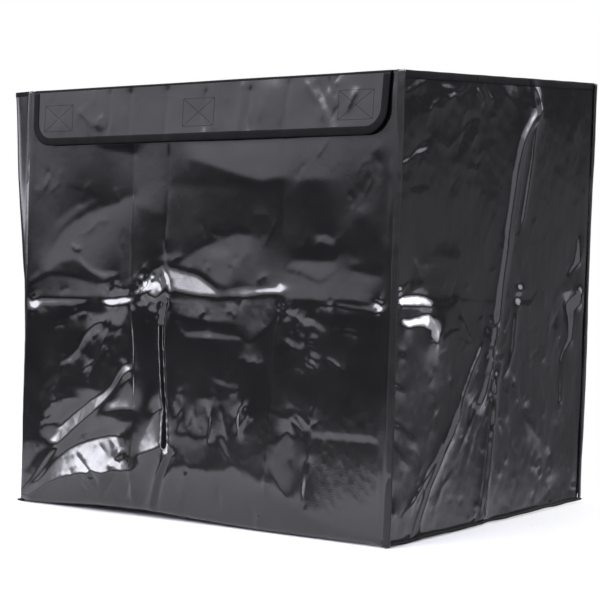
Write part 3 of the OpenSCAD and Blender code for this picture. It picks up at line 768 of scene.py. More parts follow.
def front_folds(X, Z):
    h = 0.8 * vnoise(X, Z, 80, 110, 12) + (0.07 + 0.1 * (Z < 270)) * vnoise(X, Z, 26, 36, 13) + (0.02 + 0.03 * (Z < 285)) * vnoise(X, Z, 10, 14, 14)
    h += 0.015 * vnoise(X, Z, 5, 7, 15)
    h += crease(X, Z, V1_UP, -1.2, 12, 8, 1.0)
    h += crease(X, Z, V1_LO, 2.3, 7, 4.2, 0.7)
    h += crease(X, Z, V2_UP, -0.9, 9, 12, 1.2)
    h += crease(X, Z, V3_UP, -1.3, 12, 12, 1.0)
    # the packing folds show as fine lines
    h += crease(X, Z, V1_UP, -1.35, 2.8, 1.8, 0.4, 14)
    h += crease(X, Z, [p for p in V2_UP if p[1] < 480], -0.95, 2.4, 1.8, 0.4, 20)
    h += crease(X, Z, [(x - 5, z) for x, z in V3_UP], -1.5, 1.8, 2.8, 0.4, 12)
    h += crease(X, Z, V3_LO, 2.4, 6, 5, 0.6, 22)
    # deep pleat below the knot, with its two lips
    h += crease(X, Z, PLEAT, -5.5, 2.6, 3.4, 0.8, 14, (0, 1))
    h += crease(X, Z, [(x - 7, z) for x, z in PLEAT], 2.4, 4.5, 3, 0.6, 14)
    h += crease(X, Z, [(x + 6, z) for x, z in PLEAT], 2.4, 3, 4.5, 0.6, 14)
    h += crease(X, Z, PLEAT_TAIL, 2.2, 3.0, 5, 0.6, 10, (0, 1))
    h += crease(X, Z, [(x + 8, z - 1) for x, z in PLEAT_TAIL], -1.6, 4, 6, 1.0, 10, (0, 1))
    # the knot where the folds cross
    for k, (x0, z0, x1, z1) in enumerate(((-92, 301, -78, 288), (-84, 306, -68, 290), (-74, 308, -60, 296), (-90, 292, -80, 283), (-66, 300, -52, 286))):
        h += crease(X, Z, [(x0, z0), ((x0 + x1) / 2 + 2, (z0 + z1) / 2 + 1), (x1, z1)], -0.9, 2.0, 2.4, 0.6, 6)
    for k in range(7):
        x0, z0 = -96 + 6.2 * k, 296 + 2.6 * k - 0.25 * k * k
        h += crease(X, Z, [(x0 - 3, z0 + 5), (x0 + 2, z0 - 1), (x0 + 5, z0 - 9)], (-0.75, 0.6)[k % 2], 1.7, 1.9, 0.5, 6)
    h += crease(X, Z, [(-62, 318), (-52, 309), (-44, 298), (-42, 284)], 1.6, 3, 4, 0.8)
    h += crease(X, Z, [(-58, 317), (-48, 307), (-40, 296), (-38, 282)], -1.4, 2, 4, 0.7)
    # marks in the loose sheet at the bottom
    h += crease(X, Z, [(-196, 72), (-172, 56), (-150, 44)], -0.8, 3, 4, 0.7)
    h += crease(X, Z, [(-160, 88), (-138, 74)], -0.6, 2.4, 3, 0.7)
    h += crease(X, Z, [(-145, 12), (-128, 34), (-116, 50)], -0.7, 2.4, 4, 0.6)
    h += crease(X, Z, [(-108, 12), (-94, 38), (-86, 56)], -0.7, 2.4, 4, 0.6)
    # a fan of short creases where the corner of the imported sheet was
    for x0, z0, x1, z1, a in ((-178, 44, -160, 30, -0.7), (-170, 50, -152, 26, 0.6), (-158, 52, -146, 22, -0.8), (-168, 34, -138, 28, 0.5), (-176, 26, -152, 18, -0.5), (-150, 44, -136, 38, 0.5)):
        h += crease(X, Z, [(x0, z0), ((x0 + x1) / 2 + 1.5, (z0 + z1) / 2 - 1), (x1, z1)], a, 2.2, 2.4, 0.6, 8)
    # short upright folds below the middle
    for x0, z0, x1, z1, a in ((-20, 160, -12, 124, -0.5), (2, 160, 8, 118, 0.45), (20, 158, 30, 122, -0.5), (46, 152, 60, 104, 0.5), (66, 150, 78, 112, -0.4)):
        h += crease(X, Z, [(x0, z0), ((x0 + x1) / 2 - 1, (z0 + z1) / 2), (x1, z1)], a, 3, 4, 0.8, 14)
    for x0, z0, x1, z1, a in ((150, 140, 176, 118, -0.6), (160, 148, 186, 128, 0.5), (176, 126, 196, 140, -0.4), (200, 214, 226, 200, -0.5), (170, 232, 196, 222, 0.5), (150, 264, 170, 250, -0.5)):
        h += crease(X, Z, [(x0, z0), ((x0 + x1) / 2, (z0 + z1) / 2 + 1.5), (x1, z1)], a, 2.6, 3, 0.7, 9)
    h += crumple(X, Z, -166, 40, 18, 7, 16, 0.7, 22)
    h += crumple(X, Z, -180, 62, 36, 12, 16, 0.35, 42, -30, 30) + crumple(X, Z, -125, 72, 20, 9, 14, 0.5, 43)
    h += crumple(X, Z, -78, 292, 16, 10, 12, 0.7, 44, -45, 20) + crumple(X, Z, -70, 262, 14, 6, 14, 0.5, 45)
    h += crumple(X, Z, 140, 268, 10, 6, 12, 0.6, 46) + crumple(X, Z, 20, 288, 60, 7, 22, 0.35, 47, 10, 20)
    h += crumple(X, Z, -180, 205, 40, 7, 34, 0.4, 48, 50, 20) + crumple(X, Z, 160, 225, 34, 7, 26, 0.5, 49, -40, 30)
    h += crease(X, Z, [(47, 52), (48, 16)], -1.0, 3, 3, 0.7)
    h += crease(X, Z, [(112, 22), (106, -4)], 0.9, 2.5, 2.5, 0.7, 6)
    h += crease(X, Z, [(-141, 248), (-157, 216), (-172, 192), (-196, 176)], 0.8, 4, 5, 0.8)
    h += 0.07 * fold_noise(X + 0.4 * Z, Z, 9, 17, 16) * smooth(60, 20, Z) + (0.01 + 0.04 * (Z < 285)) * fold_noise(X, Z + 0.5 * X, 8, 14, 17)
    h += crumple(X, Z, -100, 20, 60, 9, 34, 0.9, 31, 70, 25)
    h += crumple(X, Z, 60, 18, 120, 10, 34, 0.8, 32, 90, 30)
    h += crumple(X, Z, -288, 274, 10, 8, 12, 1.0, 33)
    h += crumple(X, Z, -140, 285, 24, 7, 20, 0.7, 34, 20, 40)
    h += crumple(X, Z, 280, 280, 12, 7, 12, 0.9, 40)
    h += crumple(X, Z, -220, 160, 60, 12, 26, 0.45, 181, 50, 30)
    h += crumple(X, Z, -200, 262, 80, 14, 20, 0.5, 182, 10, 40)
    h += crumple(X, Z, 20, 262, 110, 14, 24, 0.45, 183, 5, 40)
    h += crumple(X, Z, 180, 235, 60, 12, 24, 0.5, 184, -30, 40)
    h += crumple(X, Z, -90, 292, 22, 12, 12, 0.7, 185, -50, 30)
    h += crumple(X, Z, 0, 400, 190, 12, 40, 0.2, 26, 80, 40)
    h += crumple(X, Z, 200, 400, 70, 9, 34, 0.22, 28, 70, 40)
    h += crumple(X, Z, -200, 420, 70, 9, 36, 0.25, 29, 70, 50)
    h += crumple(X, Z, 40, 150, 80, 7, 60, 0.4, 27, 80, 30)
    h += crumple(X, Z, 210, 130, 60, 5, 60, 0.35, 30, 80, 30)
    h *= smooth(0, 16, HW - np.abs(X)) * (0.35 + 0.65 * smooth(0, 30, H - Z)) * (0.5 + 0.5 * smooth(0, 12, Z))
    # a pucker beside each binding
    for s in (-1, 1):
        line = [(s * (HW - 5.0 - 0.8 * math.sin(z / 37.0)), z) for z in range(14, int(H) - 4, 26)]
        h += crease(X, Z, line, 1.2, 2.0, 2.0, 0.5) * (0.55 + 0.45 * vnoise(X * 0, Z, 9, 34, 41))
    return h


WIDE, TALL = HW / 292.5, H / 545.0  # the facets are laid out for a bag of this size
front_height = Relief((-HW, HW), (0.0, H), 1.8, sized(FRONT_FACETS, WIDE, TALL), front_folds)


# ---------------------------------------------------------------- front and back walls


def arc_profile(zs_top, n_arc=7, n_floor=6):
    """Stations from the rim down the wall to where the turn begins."""
    zs = np.arange(ROLL, zs_top + 0.01, (zs_top - ROLL) / 178.0)
    return zs[::-1]


def wall_grid(height, nx, nz, seed_amp=1.0, zmin=None):
    zmin = ROLL if zmin is None else zmin
    a = HW + TW - 1.6
    xs = np.linspace(-a, a, nx)
    zs = np.linspace(zmin, H - 0.6, nz)
    X, Z = np.meshgrid(xs, zs, indexing="ij")
    h = height(np.clip(X, -HW, HW), Z)
    return X, Z, h


def place_wall(X, Z, h, side):
    """side -1 is the front and 1 the back."""
    P = np.stack([X, side * (HD + h), Z], -1)
    return P


# the front wall with its turn into the floor, as one grid
NX, NZ = 327, 298
X, Z, h_front = wall_grid(front_height, NX, NZ)
arc_t = np.linspace(0, 1, 8)[1:]
arc_x, arc_y, arc_z, arc_h = [], [], [], []
base_h = h_front[:, 0]
P_wall = place_wall(X, Z, h_front, -1)


def roll_rows(Xrow, h0, side, n_floor=7):
    rows = []
    for t in np.linspace(0, 1, 8)[1:]:
        a = t * math.pi / 2
        y = ROLL * (1 - math.cos(a))
        z = ROLL * (1 - math.sin(a))
        keep = math.cos(a) ** 1.0
        rows.append(np.stack([Xrow, side * (HD + h0 * keep - y), np.full(Xrow.shape, z)], -1))
    for k in range(1, n_floor + 1):
        y = ROLL + 3.0 * k
        rows.append(np.stack([Xrow, side * (HD - y) + 0 * Xrow, np.zeros(Xrow.shape)], -1))
    return rows


def wall_with_roll(X, Z, h, side):
    P = place_wall(X, Z, h, side)
    rows = roll_rows(X[:, 0], h[:, 0], side)
    low = np.stack(rows[::-1], 1)
    return np.concatenate([low, P], 1), low.shape[1]


FW, n_low = wall_with_roll(X, Z, h_front, -1)
FWw = warp(turn_fin(FW))
# the cloth under z = 0 stays on the floor
FN = grid_normals(FWw, (0, -1, 0))
uv_front = np.stack([np.repeat((X[:, :1] + 400), FW.shape[1], 1), FW[..., 2] + 200], -1) / 1000.0
uv_front[:, :n_low, 1] = (200 - np.arange(n_low)[::-1] * 2.6)[None, :] / 1000.0

front_wall = shell("front_wall_cloth", FWw[:, n_low:], FN[:, n_low:], uv_front[:, n_low:], [M_VINYL, M_INNER])


def back_folds(X, Z):
    h = 1.2 * vnoise(X, Z, 110, 150, 31) + 0.5 * vnoise(X, Z, 64, 90, 32) + 0.2 * vnoise(X, Z, 26, 34, 33)
    h += 0.07 * vnoise(X, Z, 10, 14, 34)
    h += crease(X, Z, [(-134, 545), (-136, 300), (-128, 200), (-124, 30)], -1.6, 12, 12, 1.0)
    h += crease(X, Z, [(112, 545), (110, 280), (104, 150), (96, 20)], 1.6, 10, 8, 1.0)
    h += crease(X, Z, [(52, 540), (54, 290), (50, 170), (42, 40)], -2.0, 5, 5, 0.9)
    h += crease(X, Z, [(58, 540), (60, 290), (56, 170), (48, 40)], 1.2, 4, 8, 0.9)
    h += crease(X, Z, [(110, 200), (150, 150), (220, 92), (270, 36)], 2.4, 7, 8, 1.0, 20)
    h += crumple(X, Z, 170, 70, 60, 9, 44, 0.8, 36) + crumple(X, Z, -180, 90, 60, 8, 50, 0.7, 37)
    h += crumple(X, Z, -20, 150, 80, 8, 70, 0.6, 38, 80, 30) + crumple(X, Z, 60, 400, 150, 12, 60, 0.6, 39, 80, 40)
    return h * smooth(0, 20, HW - np.abs(X)) * (0.35 + 0.65 * smooth(0, 40, H - Z)) * (0.5 + 0.5 * smooth(0, 12, Z))


back_height = Relief((-HW, HW), (0.0, H), 2.2, turned(sized(FRONT_FACETS, WIDE, TALL), 35, 0.72), back_folds)
XB, ZB, h_back = wall_grid(back_height, 230, 208)
BW, n_lowb = wall_with_roll(XB, ZB, h_back, 1)
BWw = warp(turn_fin(BW))
BN = grid_normals(BWw, (0, 1, 0))
uv_back = np.stack([np.repeat((XB[:, :1] + 400), BW.shape[1], 1), BW[..., 2] + 200], -1) / 1000.0
uv_back[:, :n_lowb, 1] = (200 - np.arange(n_lowb)[::-1] * 2.6)[None, :] / 1000.0
back_wall = shell("back_wall_cloth", BWw[:, n_lowb:], BN[:, n_lowb:], uv_back[:, n_lowb:], [M_VINYL, M_INNER])

# ---------------------------------------------------------------- side walls


# the same kind of list for the end wall, outlines from the wall's middle and the floor
RIGHT_FACETS = [
    (0.0, 0, 10, 0.6, [(-220, 20), (220, 20), (220, 266), (-220, 266)]),
    (0.0, 0, 10, 0.6, [(-220, 284), (220, 284), (220, 540), (-220, 540)]),
    (0.5, 0, 1.2, 1.9, [(-227, 291), (-207, 284), (-193, 286), (-179, 288), (-159, 287), (-142, 284), (-137, 277), (-137, 270), (-154, 273), (-193, 276), (-219, 279), (-229, 282)]),
    (0.5, 0, 1.2, 1.9, [(-200, 263), (-186, 260), (-161, 263), (-139, 265), (-130, 256), (-125, 242), (-130, 233), (-136, 227), (-141, 233), (-144, 245), (-157, 251), (-177, 252), (-191, 250), (-197, 254)]),
    (0.22, 0, 2.5, 1, [(-193, 287), (-184, 300), (-172, 307), (-169, 325), (-162, 310), (-147, 300), (-155, 297), (-171, 293), (-179, 287)]),
    (0.1, 0, 1.5, 1, [(-220, 274), (-162, 271), (-141, 266), (-178, 263), (-202, 262), (-218, 268)]),
    (0.08, 0.03, 5, 0.7, [(-159, 325), (-137, 344), (-113, 352), (-87, 345), (-77, 334), (-58, 310), (-71, 306), (-89, 323), (-124, 331), (-149, 325)]),
    (-0.04, 0, 5, 0.6, [(-216, 397), (-159, 397), (-146, 350), (-169, 325), (-204, 300), (-220, 307)]),
    (-0.05, 0, 5, 0.6, [(-145, 325), (-92, 323), (-79, 289), (-134, 287), (-147, 304)]),
    (0.1, 0, 1.5, 1, [(-78, 280), (-38, 277), (7, 272), (8, 270), (-38, 272), (-73, 275)]),
    (0.24, 0.2, 1, 1, [(-75, 260), (-68, 255), (-58, 243), (-53, 233), (-57, 231), (-65, 246), (-74, 256)]),
    (0.16, 0, 1.2, 1, [(-120, 231), (-112, 239), (-97, 243), (-76, 245), (-75, 241), (-97, 239), (-109, 233)]),
    (0.14, 0, 1.2, 0.9, [(-92, 236), (-75, 233), (-57, 227), (-43, 221), (-57, 223), (-79, 230)]),
    (0.16, 0, 1.2, 0.9, [(-39, 251), (-32, 256), (-10, 257), (2, 254), (-14, 252), (-32, 250)]),
    (0.13, 0, 2, 0.9, [(-211, 522), (-194, 531), (-178, 539), (-154, 542), (-170, 532), (-193, 522), (-209, 517)]),
    (0.12, 0, 2, 0.9, [(-137, 532), (-120, 533), (-94, 528), (-111, 525), (-130, 527)]),
    (0.08, 0, 1.5, 0.8, [(-139, 509), (-115, 517), (-94, 526), (-89, 522), (-114, 512), (-135, 507)]),
    (0.07, 0, 5, 0.6, [(-216, 510), (-197, 516), (-167, 521), (-176, 500), (-199, 482), (-209, 454)]),
    (0.3, 0, 1.2, 1.4, [(-218, 440), (-208, 441), (-189, 448), (-177, 454), (-157, 459), (-161, 454), (-181, 450), (-196, 442), (-212, 437)]),
    (0.1, 0, 2.5, 0.9, [(-190, 409), (-175, 413), (-150, 412), (-166, 407), (-186, 404)]),
    (0.06, 0, 2.5, 0.8, [(-207, 427), (-188, 429), (-195, 418), (-207, 418)]),
    (-0.03, 0, 5, 0.5, [(-94, 530), (-55, 529), (-47, 480), (-132, 455), (-154, 478), (-135, 501)]),
    (0.05, 0, 1.5, 0.8, [(-87, 481), (-69, 479), (-45, 478), (-69, 477), (-87, 478)]),
    (0.08, 0, 1.5, 0.9, [(-52, 452), (-33, 464), (-15, 468), (-8, 465), (-28, 461), (-46, 451)]),
    (0.34, 0, 1.2, 1.6, [(-229, 190), (-218, 191), (-201, 186), (-185, 177), (-197, 179), (-213, 185)]),
    (0.36, 0, 1.3, 1.6, [(-227, 144), (-215, 147), (-195, 139), (-174, 128), (-159, 117), (-169, 119), (-190, 132), (-211, 140)]),
    (0.28, 0, 1.8, 1.4, [(-222, 128), (-210, 123), (-189, 107), (-176, 92), (-188, 98), (-209, 115)]),
    (0.26, 0, 1.5, 1.3, [(-206, 226), (-194, 223), (-189, 216), (-201, 217)]),
    (0.44, 0, 1.2, 1.6, [(-222, 58), (-208, 55), (-201, 36), (-207, 36), (-214, 51)]),
    (0.11, 0.05, 2, 0.9, [(-2, 538), (30, 542), (36, 520), (22, 516), (5, 526)]),
    (0.08, 0, 2, 0.8, [(87, 507), (111, 504), (102, 495), (90, 497)]),
    (0.05, 0, 6, 0.5, [(10, 359), (50, 395), (73, 395), (58, 345), (47, 271), (12, 273)]),
    (0.42, 0, 1, 1.6, [(55, 292), (62, 291), (63, 282), (55, 283)]),
    (0.42, 0, 1, 1.6, [(49, 276), (59, 273), (55, 262), (50, 265)]),
    (0.16, 0, 2, 0.9, [(59, 271), (88, 270), (83, 262), (64, 264)]),
    (0.1, 0, 2.5, 0.8, [(60, 248), (86, 232), (110, 236), (140, 221), (110, 231), (86, 226), (66, 241)]),
    (0.08, 0, 3, 0.7, [(150, 286), (180, 291), (187, 278), (161, 276)]),
    (-0.05, 0, 5, 0.5, [(112, 142), (167, 134), (185, 103), (132, 104)]),
    (0.3, 0.1, 1, 1.2, [(45, 168), (52, 169), (65, 149), (61, 148)]),
    (0.42, 0.1, 1, 1.6, [(76, 135), (83, 133), (110, 104), (123, 92), (115, 95), (89, 116)]),
    (0.22, 0, 1, 1, [(117, 177), (122, 166), (132, 140), (128, 122), (125, 125), (124, 147)]),
    (0.32, 0, 1, 1.3, [(4, 218), (11, 217), (12, 212), (2, 214)]),
    (0.32, 0, 1, 1.3, [(-4, 207), (7, 206), (8, 201), (-1, 202)]),
    (0.32, 0, 1, 1.3, [(14, 207), (21, 205), (22, 200), (17, 200)]),
    (0.18, 0, 1.5, 1, [(-3, 191), (9, 187), (12, 180), (2, 180)]),
    (0.18, 0, 1.5, 1, [(-28, 185), (-19, 187), (-20, 180), (-27, 180)]),
    (0.2, 0, 1.2, 1, [(-23, 212), (-16, 211), (-15, 201), (-20, 202)]),
    (0.2, 0, 1.2, 1, [(-2, 276), (7, 278), (7, 271), (1, 270)]),
    (0.2, 0, 1.2, 1, [(-46, 125), (-40, 140), (-36, 142), (-37, 130), (-43, 118)]),
    (0.26, 0, 1.2, 1.1, [(-17, 32), (-6, 36), (-7, 23), (-13, 11), (-18, 15)]),
    (0.26, 0, 1.2, 1.1, [(-29, 5), (-20, 6), (-17, -2), (-24, -2)]),
    (0.26, 0, 1.2, 1.1, [(207, 25), (215, 24), (215, 18), (208, 19)]),
    (0.2, 0, 1.5, 1, [(203, 16), (216, 14), (217, 1), (206, 2)]),
    (0.16, 0, 1.5, 1, [(37, 20), (44, 14), (52, 4), (45, 6)]),
    (0.12, 0, 2.5, 0.9, [(112, 4), (137, 13), (151, 22), (147, 10), (127, 2)]),
    (0.2, 0, 1, 1, [(149, 18), (154, 18), (155, 5), (150, 5)]),
    (0.05, -0.5, 1, 1.3, [(194, 345), (199, 345), (202, 314), (182, 299), (177, 301), (191, 314), (195, 329)]),
    (0.05, -0.5, 1, 1.3, [(205, 277), (206, 258), (191, 254), (192, 236), (189, 213), (175, 198), (168, 186), (170, 134), (165, 134), (166, 189), (172, 201), (184, 220), (184, 242), (178, 260), (188, 265)]),
]

RIDGE = [(58, 548), (75, 531), (84, 507), (66, 490), (49, 469), (45, 460), (36, 428), (31, 395), (24, 362), (19, 330), (11, 289), (6, 257), (1, 231), (-6, 201), (-17, 165), (-33, 139)]


def right_folds(Y, Z):
    h = 0.9 * vnoise(Y, Z, 60, 110, 42) + 0.3 * vnoise(Y, Z, 24, 40, 43) + 0.10 * vnoise(Y, Z, 9, 14, 44)
    h += 0.03 * vnoise(Y, Z, 5, 7, 45) + 0.06 * fold_noise(Y, Z + 0.3 * Y, 8, 18, 43)
    h += 0.10 * fold_noise(Y, Z, 10, 26, 40) * smooth(300, 200, Z)
    h += crumple(Y, Z, -30, 120, 40, 9, 60, 0.7, 61, 60, 14)
    h += crumple(Y, Z, -130, 60, 40, 8, 50, 0.7, 62, 62, 14)
    h += crumple(Y, Z, 60, 150, 50, 8, 60, 0.5, 63, 110, 20)
    h += crumple(Y, Z, 0, 30, 160, 14, 18, 0.6, 64, 90, 40)
    h += crumple(Y, Z, 40, 330, 60, 8, 30, 0.4, 65)
    # the fold down the middle, flat topped with two edges
    h += crease(Y, Z, RIDGE, 2.6, 9, 16, 0.9, 10, (0, 1))
    h += crease(Y, Z, [(y + 9 + 3 * math.sin(z / 50.0), z) for y, z in RIDGE], 1.8, 4, 9, 0.8, 10, (0, 1))
    h += crease(Y, Z, [(84, 507), (78, 490), (74, 445), (66, 401), (59, 370), (55, 355)], 1.6, 3.5, 5, 0.7, 20, (0, 1))
    h += crease(Y, Z, [(-25, 221), (-50, 189), (-66, 163), (-79, 134), (-97, 112), (-117, 90), (-137, 71), (-161, 48), (-184, 33)], 1.7, 6, 9, 0.8, 20)
    h += crease(Y, Z, [(-72, 148), (-93, 111), (-109, 92), (-120, 73), (-132, 56), (-143, 34), (-154, 12), (-162, -5)], 2.2, 5, 8, 0.8, 24, (1, 0))
    h += crease(Y, Z, [(5, 178), (5, 138), (1, 102), (-3, 65), (-8, 29), (-19, 0)], 2.4, 5, 7, 0.8, 20, (1, 0))
    h += crease(Y, Z, [(-5, 150), (-9, 100), (-14, 60), (-20, 20)], 1.3, 3, 4, 0.7, 20, (1, 0))
    h += crease(Y, Z, [(48, 259), (44, 210), (36, 191), (26, 176)], 1.3, 4, 6, 0.8, 16)
    h += crease(Y, Z, [(-231, 281), (-219, 287), (-204, 292), (-196, 296)], 1.2, 2, 3, 0.6, 6)
    h += crease(Y, Z, [(-228, 304), (-216, 297), (-196, 293), (-176, 304)], 1.0, 2, 3, 0.6, 8)
    h += crease(Y, Z, [(-47, 539), (-33, 524), (-19, 512)], 1.0, 2.5, 4, 0.7, 6)
    h += crease(Y, Z, [(-60, 529), (-50, 521), (-38, 510)], 0.8, 2.5, 4, 0.7, 6)
    h += crumple(Y, Z, 6, 240, 26, 12, 26, 0.9, 45, 90, 40)
    h += crumple(Y, Z, 0, 190, 22, 9, 40, 0.8, 46, 92, 22)
    h += crumple(Y, Z, -210, 285, 16, 9, 14, 0.7, 51)
    h += crumple(Y, Z, 150, 240, 60, 8, 50, 0.5, 47, 75, 30)
    h += crumple(Y, Z, -130, 480, 70, 8, 60, 0.6, 48, 30, 30)
    h += crumple(Y, Z, 120, 30, 60, 8, 26, 0.6, 49)
    h += crumple(Y, Z, -160, 130, 50, 7, 40, 0.3, 171, -25, 14)
    h += crumple(Y, Z, 0, 20, 190, 30, 15, 0.6, 172, 80, 50)
    h += crumple(Y, Z, -110, 515, 100, 18, 26, 0.5, 173, 35, 35)
    h += crumple(Y, Z, -70, 245, 90, 16, 24, 0.6, 174, 20, 50)
    h += crumple(Y, Z, 110, 230, 60, 14, 28, 0.55, 175, 70, 40)
    h += crumple(Y, Z, 60, 120, 80, 8, 50, 0.32, 176, 112, 14)
    h += crumple(Y, Z, -20, 12, 20, 8, 18, 0.9, 50, 90, 30)
    return h * smooth(0, 16, HD - np.abs(Y)) * (0.3 + 0.7 * smooth(0, 26, H - Z)) * (0.5 + 0.5 * smooth(0, 14, Z))


DEEP = HD / 222.5
RIGHT_FACETS += [
    band([p for p in RIDGE if p[1] > 120], -8.5, 0.0, -0.26, 1.8),
    band([p for p in RIDGE if p[1] > 120], 9.0, 0.0, 0.22, 2.0, 0.8),
    band([(84, 507), (78, 490), (74, 445), (66, 401), (59, 370), (55, 355)], -4.0, 0.0, -0.34),
    band([(-25, 221), (-50, 189), (-66, 163), (-79, 134), (-97, 112), (-117, 90), (-137, 71), (-161, 48), (-184, 33)], -4.5, 0.03, -0.34),
    band([(-72, 148), (-93, 111), (-109, 92), (-120, 73), (-132, 56), (-143, 34), (-154, 12), (-162, 2)], -7.0, 0.03, -0.36),
    band([(5, 178), (5, 138), (1, 102), (-3, 65), (-8, 29), (-19, 4)], -7.0, 0.0, -0.36),
    band([(48, 259), (44, 210), (36, 191), (26, 176)], -6.0, 0.0, -0.22),
]
right_height = Relief((-HD, HD), (0.0, H), 1.8, sized(RIGHT_FACETS, DEEP, TALL), right_folds)


def left_folds(Y, Z):
    h = 1.1 * vnoise(Y, Z, 95, 150, 51) + 0.5 * vnoise(Y, Z, 46, 90, 52) + 0.2 * vnoise(Y, Z, 20, 34, 53)
    h += 0.07 * vnoise(Y, Z, 9, 14, 54)
    h += crease(Y, Z, [(20, 545), (10, 380), (4, 270), (-4, 130), (0, 0)], 2.8, 10, 14, 0.9, 10, (0, 0))
    h += crease(Y, Z, [(30, 545), (20, 380), (13, 270), (8, 130)], 1.6, 4, 8, 0.8, 10, (0, 1))
    h += crease(Y, Z, [(10, 230), (60, 170), (110, 90), (130, 20)], 2.2, 7, 9, 0.9, 18)
    h += crease(Y, Z, [(-8, 220), (-60, 150), (-120, 80)], 2.0, 6, 9, 0.9, 18)
    h += crumple(Y, Z, 0, 262, 36, 12, 36, 1.0, 55)
    h += crumple(Y, Z, 120, 400, 90, 9, 70, 0.7, 56, 80, 30)
    h += crumple(Y, Z, -120, 130, 80, 9, 60, 0.8, 57)
    h = h * smooth(0, 20, HD - np.abs(Y)) * (0.3 + 0.7 * smooth(0, 34, H - Z)) * (0.5 + 0.5 * smooth(0, 14, Z))
    # the upper front part swings outward beside the seam
    yy = Y + HD
    flare = smooth(0, 16, yy) * (1 - smooth(24, 225, yy))
    up = np.interp(Z / H, [0, 0.12, 0.28, 0.4, 0.505, 0.73, 0.79, 1.0], [0, 0.5, 4, 9, 18, 34, 38, 46.5])
    return h + flare * up


left_height = Relief((-HD, HD), (0.0, H), 2.2, turned(sized(RIGHT_FACETS, DEEP, TALL), 59, 0.7), left_folds)


def side_grid(height, ny, nz, s):
    ys = np.concatenate([np.linspace(-HD + 0.4, -HD + 30, 14)[:-1], np.linspace(-HD + 30, HD - 30, ny), np.linspace(HD - 30, HD - 0.4, 14)[1:]])
    zs = np.linspace(0.6, H - 1.2, nz)
    Y, Zs = np.meshgrid(ys, zs, indexing="ij")
    h = height(Y, Zs)
    Xs = s * (HW + h)
    P = np.stack([Xs, Y, Zs], -1)
    return ys, P, h


ysR, SR, hR = side_grid(right_height, 193, 272, 1)
SRw = warp(SR)
NR = grid_normals(SRw, (1, 0, 0))
ysL, SL, hL = side_grid(left_height, 161, 230, -1)
SLw = warp(SL)
NL = grid_normals(SLw, (-1, 0, 0))


def side_pieces(name, ys, Pw, N, P, cuts):
    """Cuts a side wall into strips that share their edge columns."""
    uv = np.stack([P[..., 1] + 300, P[..., 2] + 200], -1) / 1000.0
    out = []
    edges = [0] + [int(np.argmin(np.abs(ys - c))) for c in cuts] + [len(ys) - 1]
    for k, label in enumerate(("front", "middle", "back")):
        i0, i1 = edges[k], edges[k + 1]
        o = shell(f"{name}_{label}_cloth", Pw[i0 : i1 + 1], N[i0 : i1 + 1], uv[i0 : i1 + 1], [M_VINYL, M_INNER])
        out.append((o, ys[i0], ys[i1]))
    return out


CUTS = (-60.0, 60.0)
right_side = side_pieces("right_side", ysR, SRw, NR, SR, CUTS)
left_side = side_pieces("left_side", ysL, SLw, NL, SL, CUTS)

# ---------------------------------------------------------------- bindings


def seam_binding(name, s, side, seed):
    """The bound fin at a corner: s is the end (+1 right), side is -1 front and 1 back."""
    z = np.concatenate([np.arange(1.0, H - 0.6, 2.1), [H - 0.5]])
    n = len(z)
    wob = 0.5 * vnoise(z, z * 0, 60, 9, seed) * smooth(0, 30, z)
    C = np.stack([np.full(n, s * (HW + TW / 2 + 0.4)), side * (HD - 0.9) + wob, z], -1)
    Wd = np.tile([s * 1.0, 0, 0], (n, 1))
    Nd = np.tile([0, side * 1.0, 0], (n, 1))
    lean = 0.10 * vnoise(z, z * 0, 90, 9, seed + 3)
    Wd[:, 1] += lean
    rings, along = band_rings(C, Wd, Nd, TW, 2.7, 18, seed, 0.1)
    # ends rounded
    for k, f in ((0, 0.82), (-1, 0.82)):
        c = rings[k].mean(0)
        rings[k] = c + (rings[k] - c) * f
    return tube(name, warp(turn_fin(rings)), along, [M_BIND])


bind_fr = seam_binding("front_right_seam_tape", 1, -1, 61)
bind_fl = seam_binding("front_left_seam_tape", -1, -1, 62)
bind_br = seam_binding("back_right_seam_tape", 1, 1, 63)
bind_bl = seam_binding("back_left_seam_tape", -1, 1, 64)


TOP_TW = {1: 1.0 * TW, -1: 0.62 * TW}  # the tape shows less on the left end's rim


def side_edge(ys, height, s, seed, name, cuts=CUTS, top=True):
    """Tape along a side wall's top edge or its bottom seam, in three pieces."""
    out = []
    tw = TOP_TW[s]
    lims = [-HD + 1.4, cuts[0], cuts[1], HD - 1.4]
    for k, label in enumerate(("front", "middle", "back")):
        a, b = lims[k], lims[k + 1]
        n = max(8, int((b - a) / 2.1))
        y = np.linspace(a, b, n)
        if top:
            zc = np.full(n, H - tw / 2)
            h1 = height(y, np.full(n, H - tw))
            h2 = height(y, np.full(n, H - 1.2))
            x = HW + (h1 + h2) / 2 - T / 2
            C = np.stack([s * x, y, zc], -1)
            Wd = np.stack([s * (h2 - h1) / tw, 0 * y, 1 + 0 * y], -1)
            Nd = np.tile([s * 1.0, 0, 0], (n, 1))
            rings, along = band_rings(C, Wd, Nd, tw, 2.2, 16, seed, 0.1)
        else:
            taper = 0.35 + 0.65 * smooth(0, 34, np.abs(y))
            width = FIN * taper
            h = height(y, np.full(n, 2.0))
            wave = 0.8 * (1 + vnoise(y, y * 0, 34, 9, seed))
            C = np.stack([s * (HW + h + width / 2 - 0.5), y, 1.6 + wave], -1)
            Wd = np.tile([s * 1.0, 0, 0.0], (n, 1))
            Nd = np.tile([0, 0, 1.0], (n, 1))
            rings, along = band_rings(C, Wd, Nd, FIN, 2.4, 16, seed, 0.1)
            c = rings.mean(1, keepdims=True)
            d = rings - c
            d[..., 0] *= taper[:, None]
            rings = c + d
        o = tube(f"{name}_{label}", warp(rings), along + 100 * k, [M_TAPE])
        out.append((o, a, b))
    return out


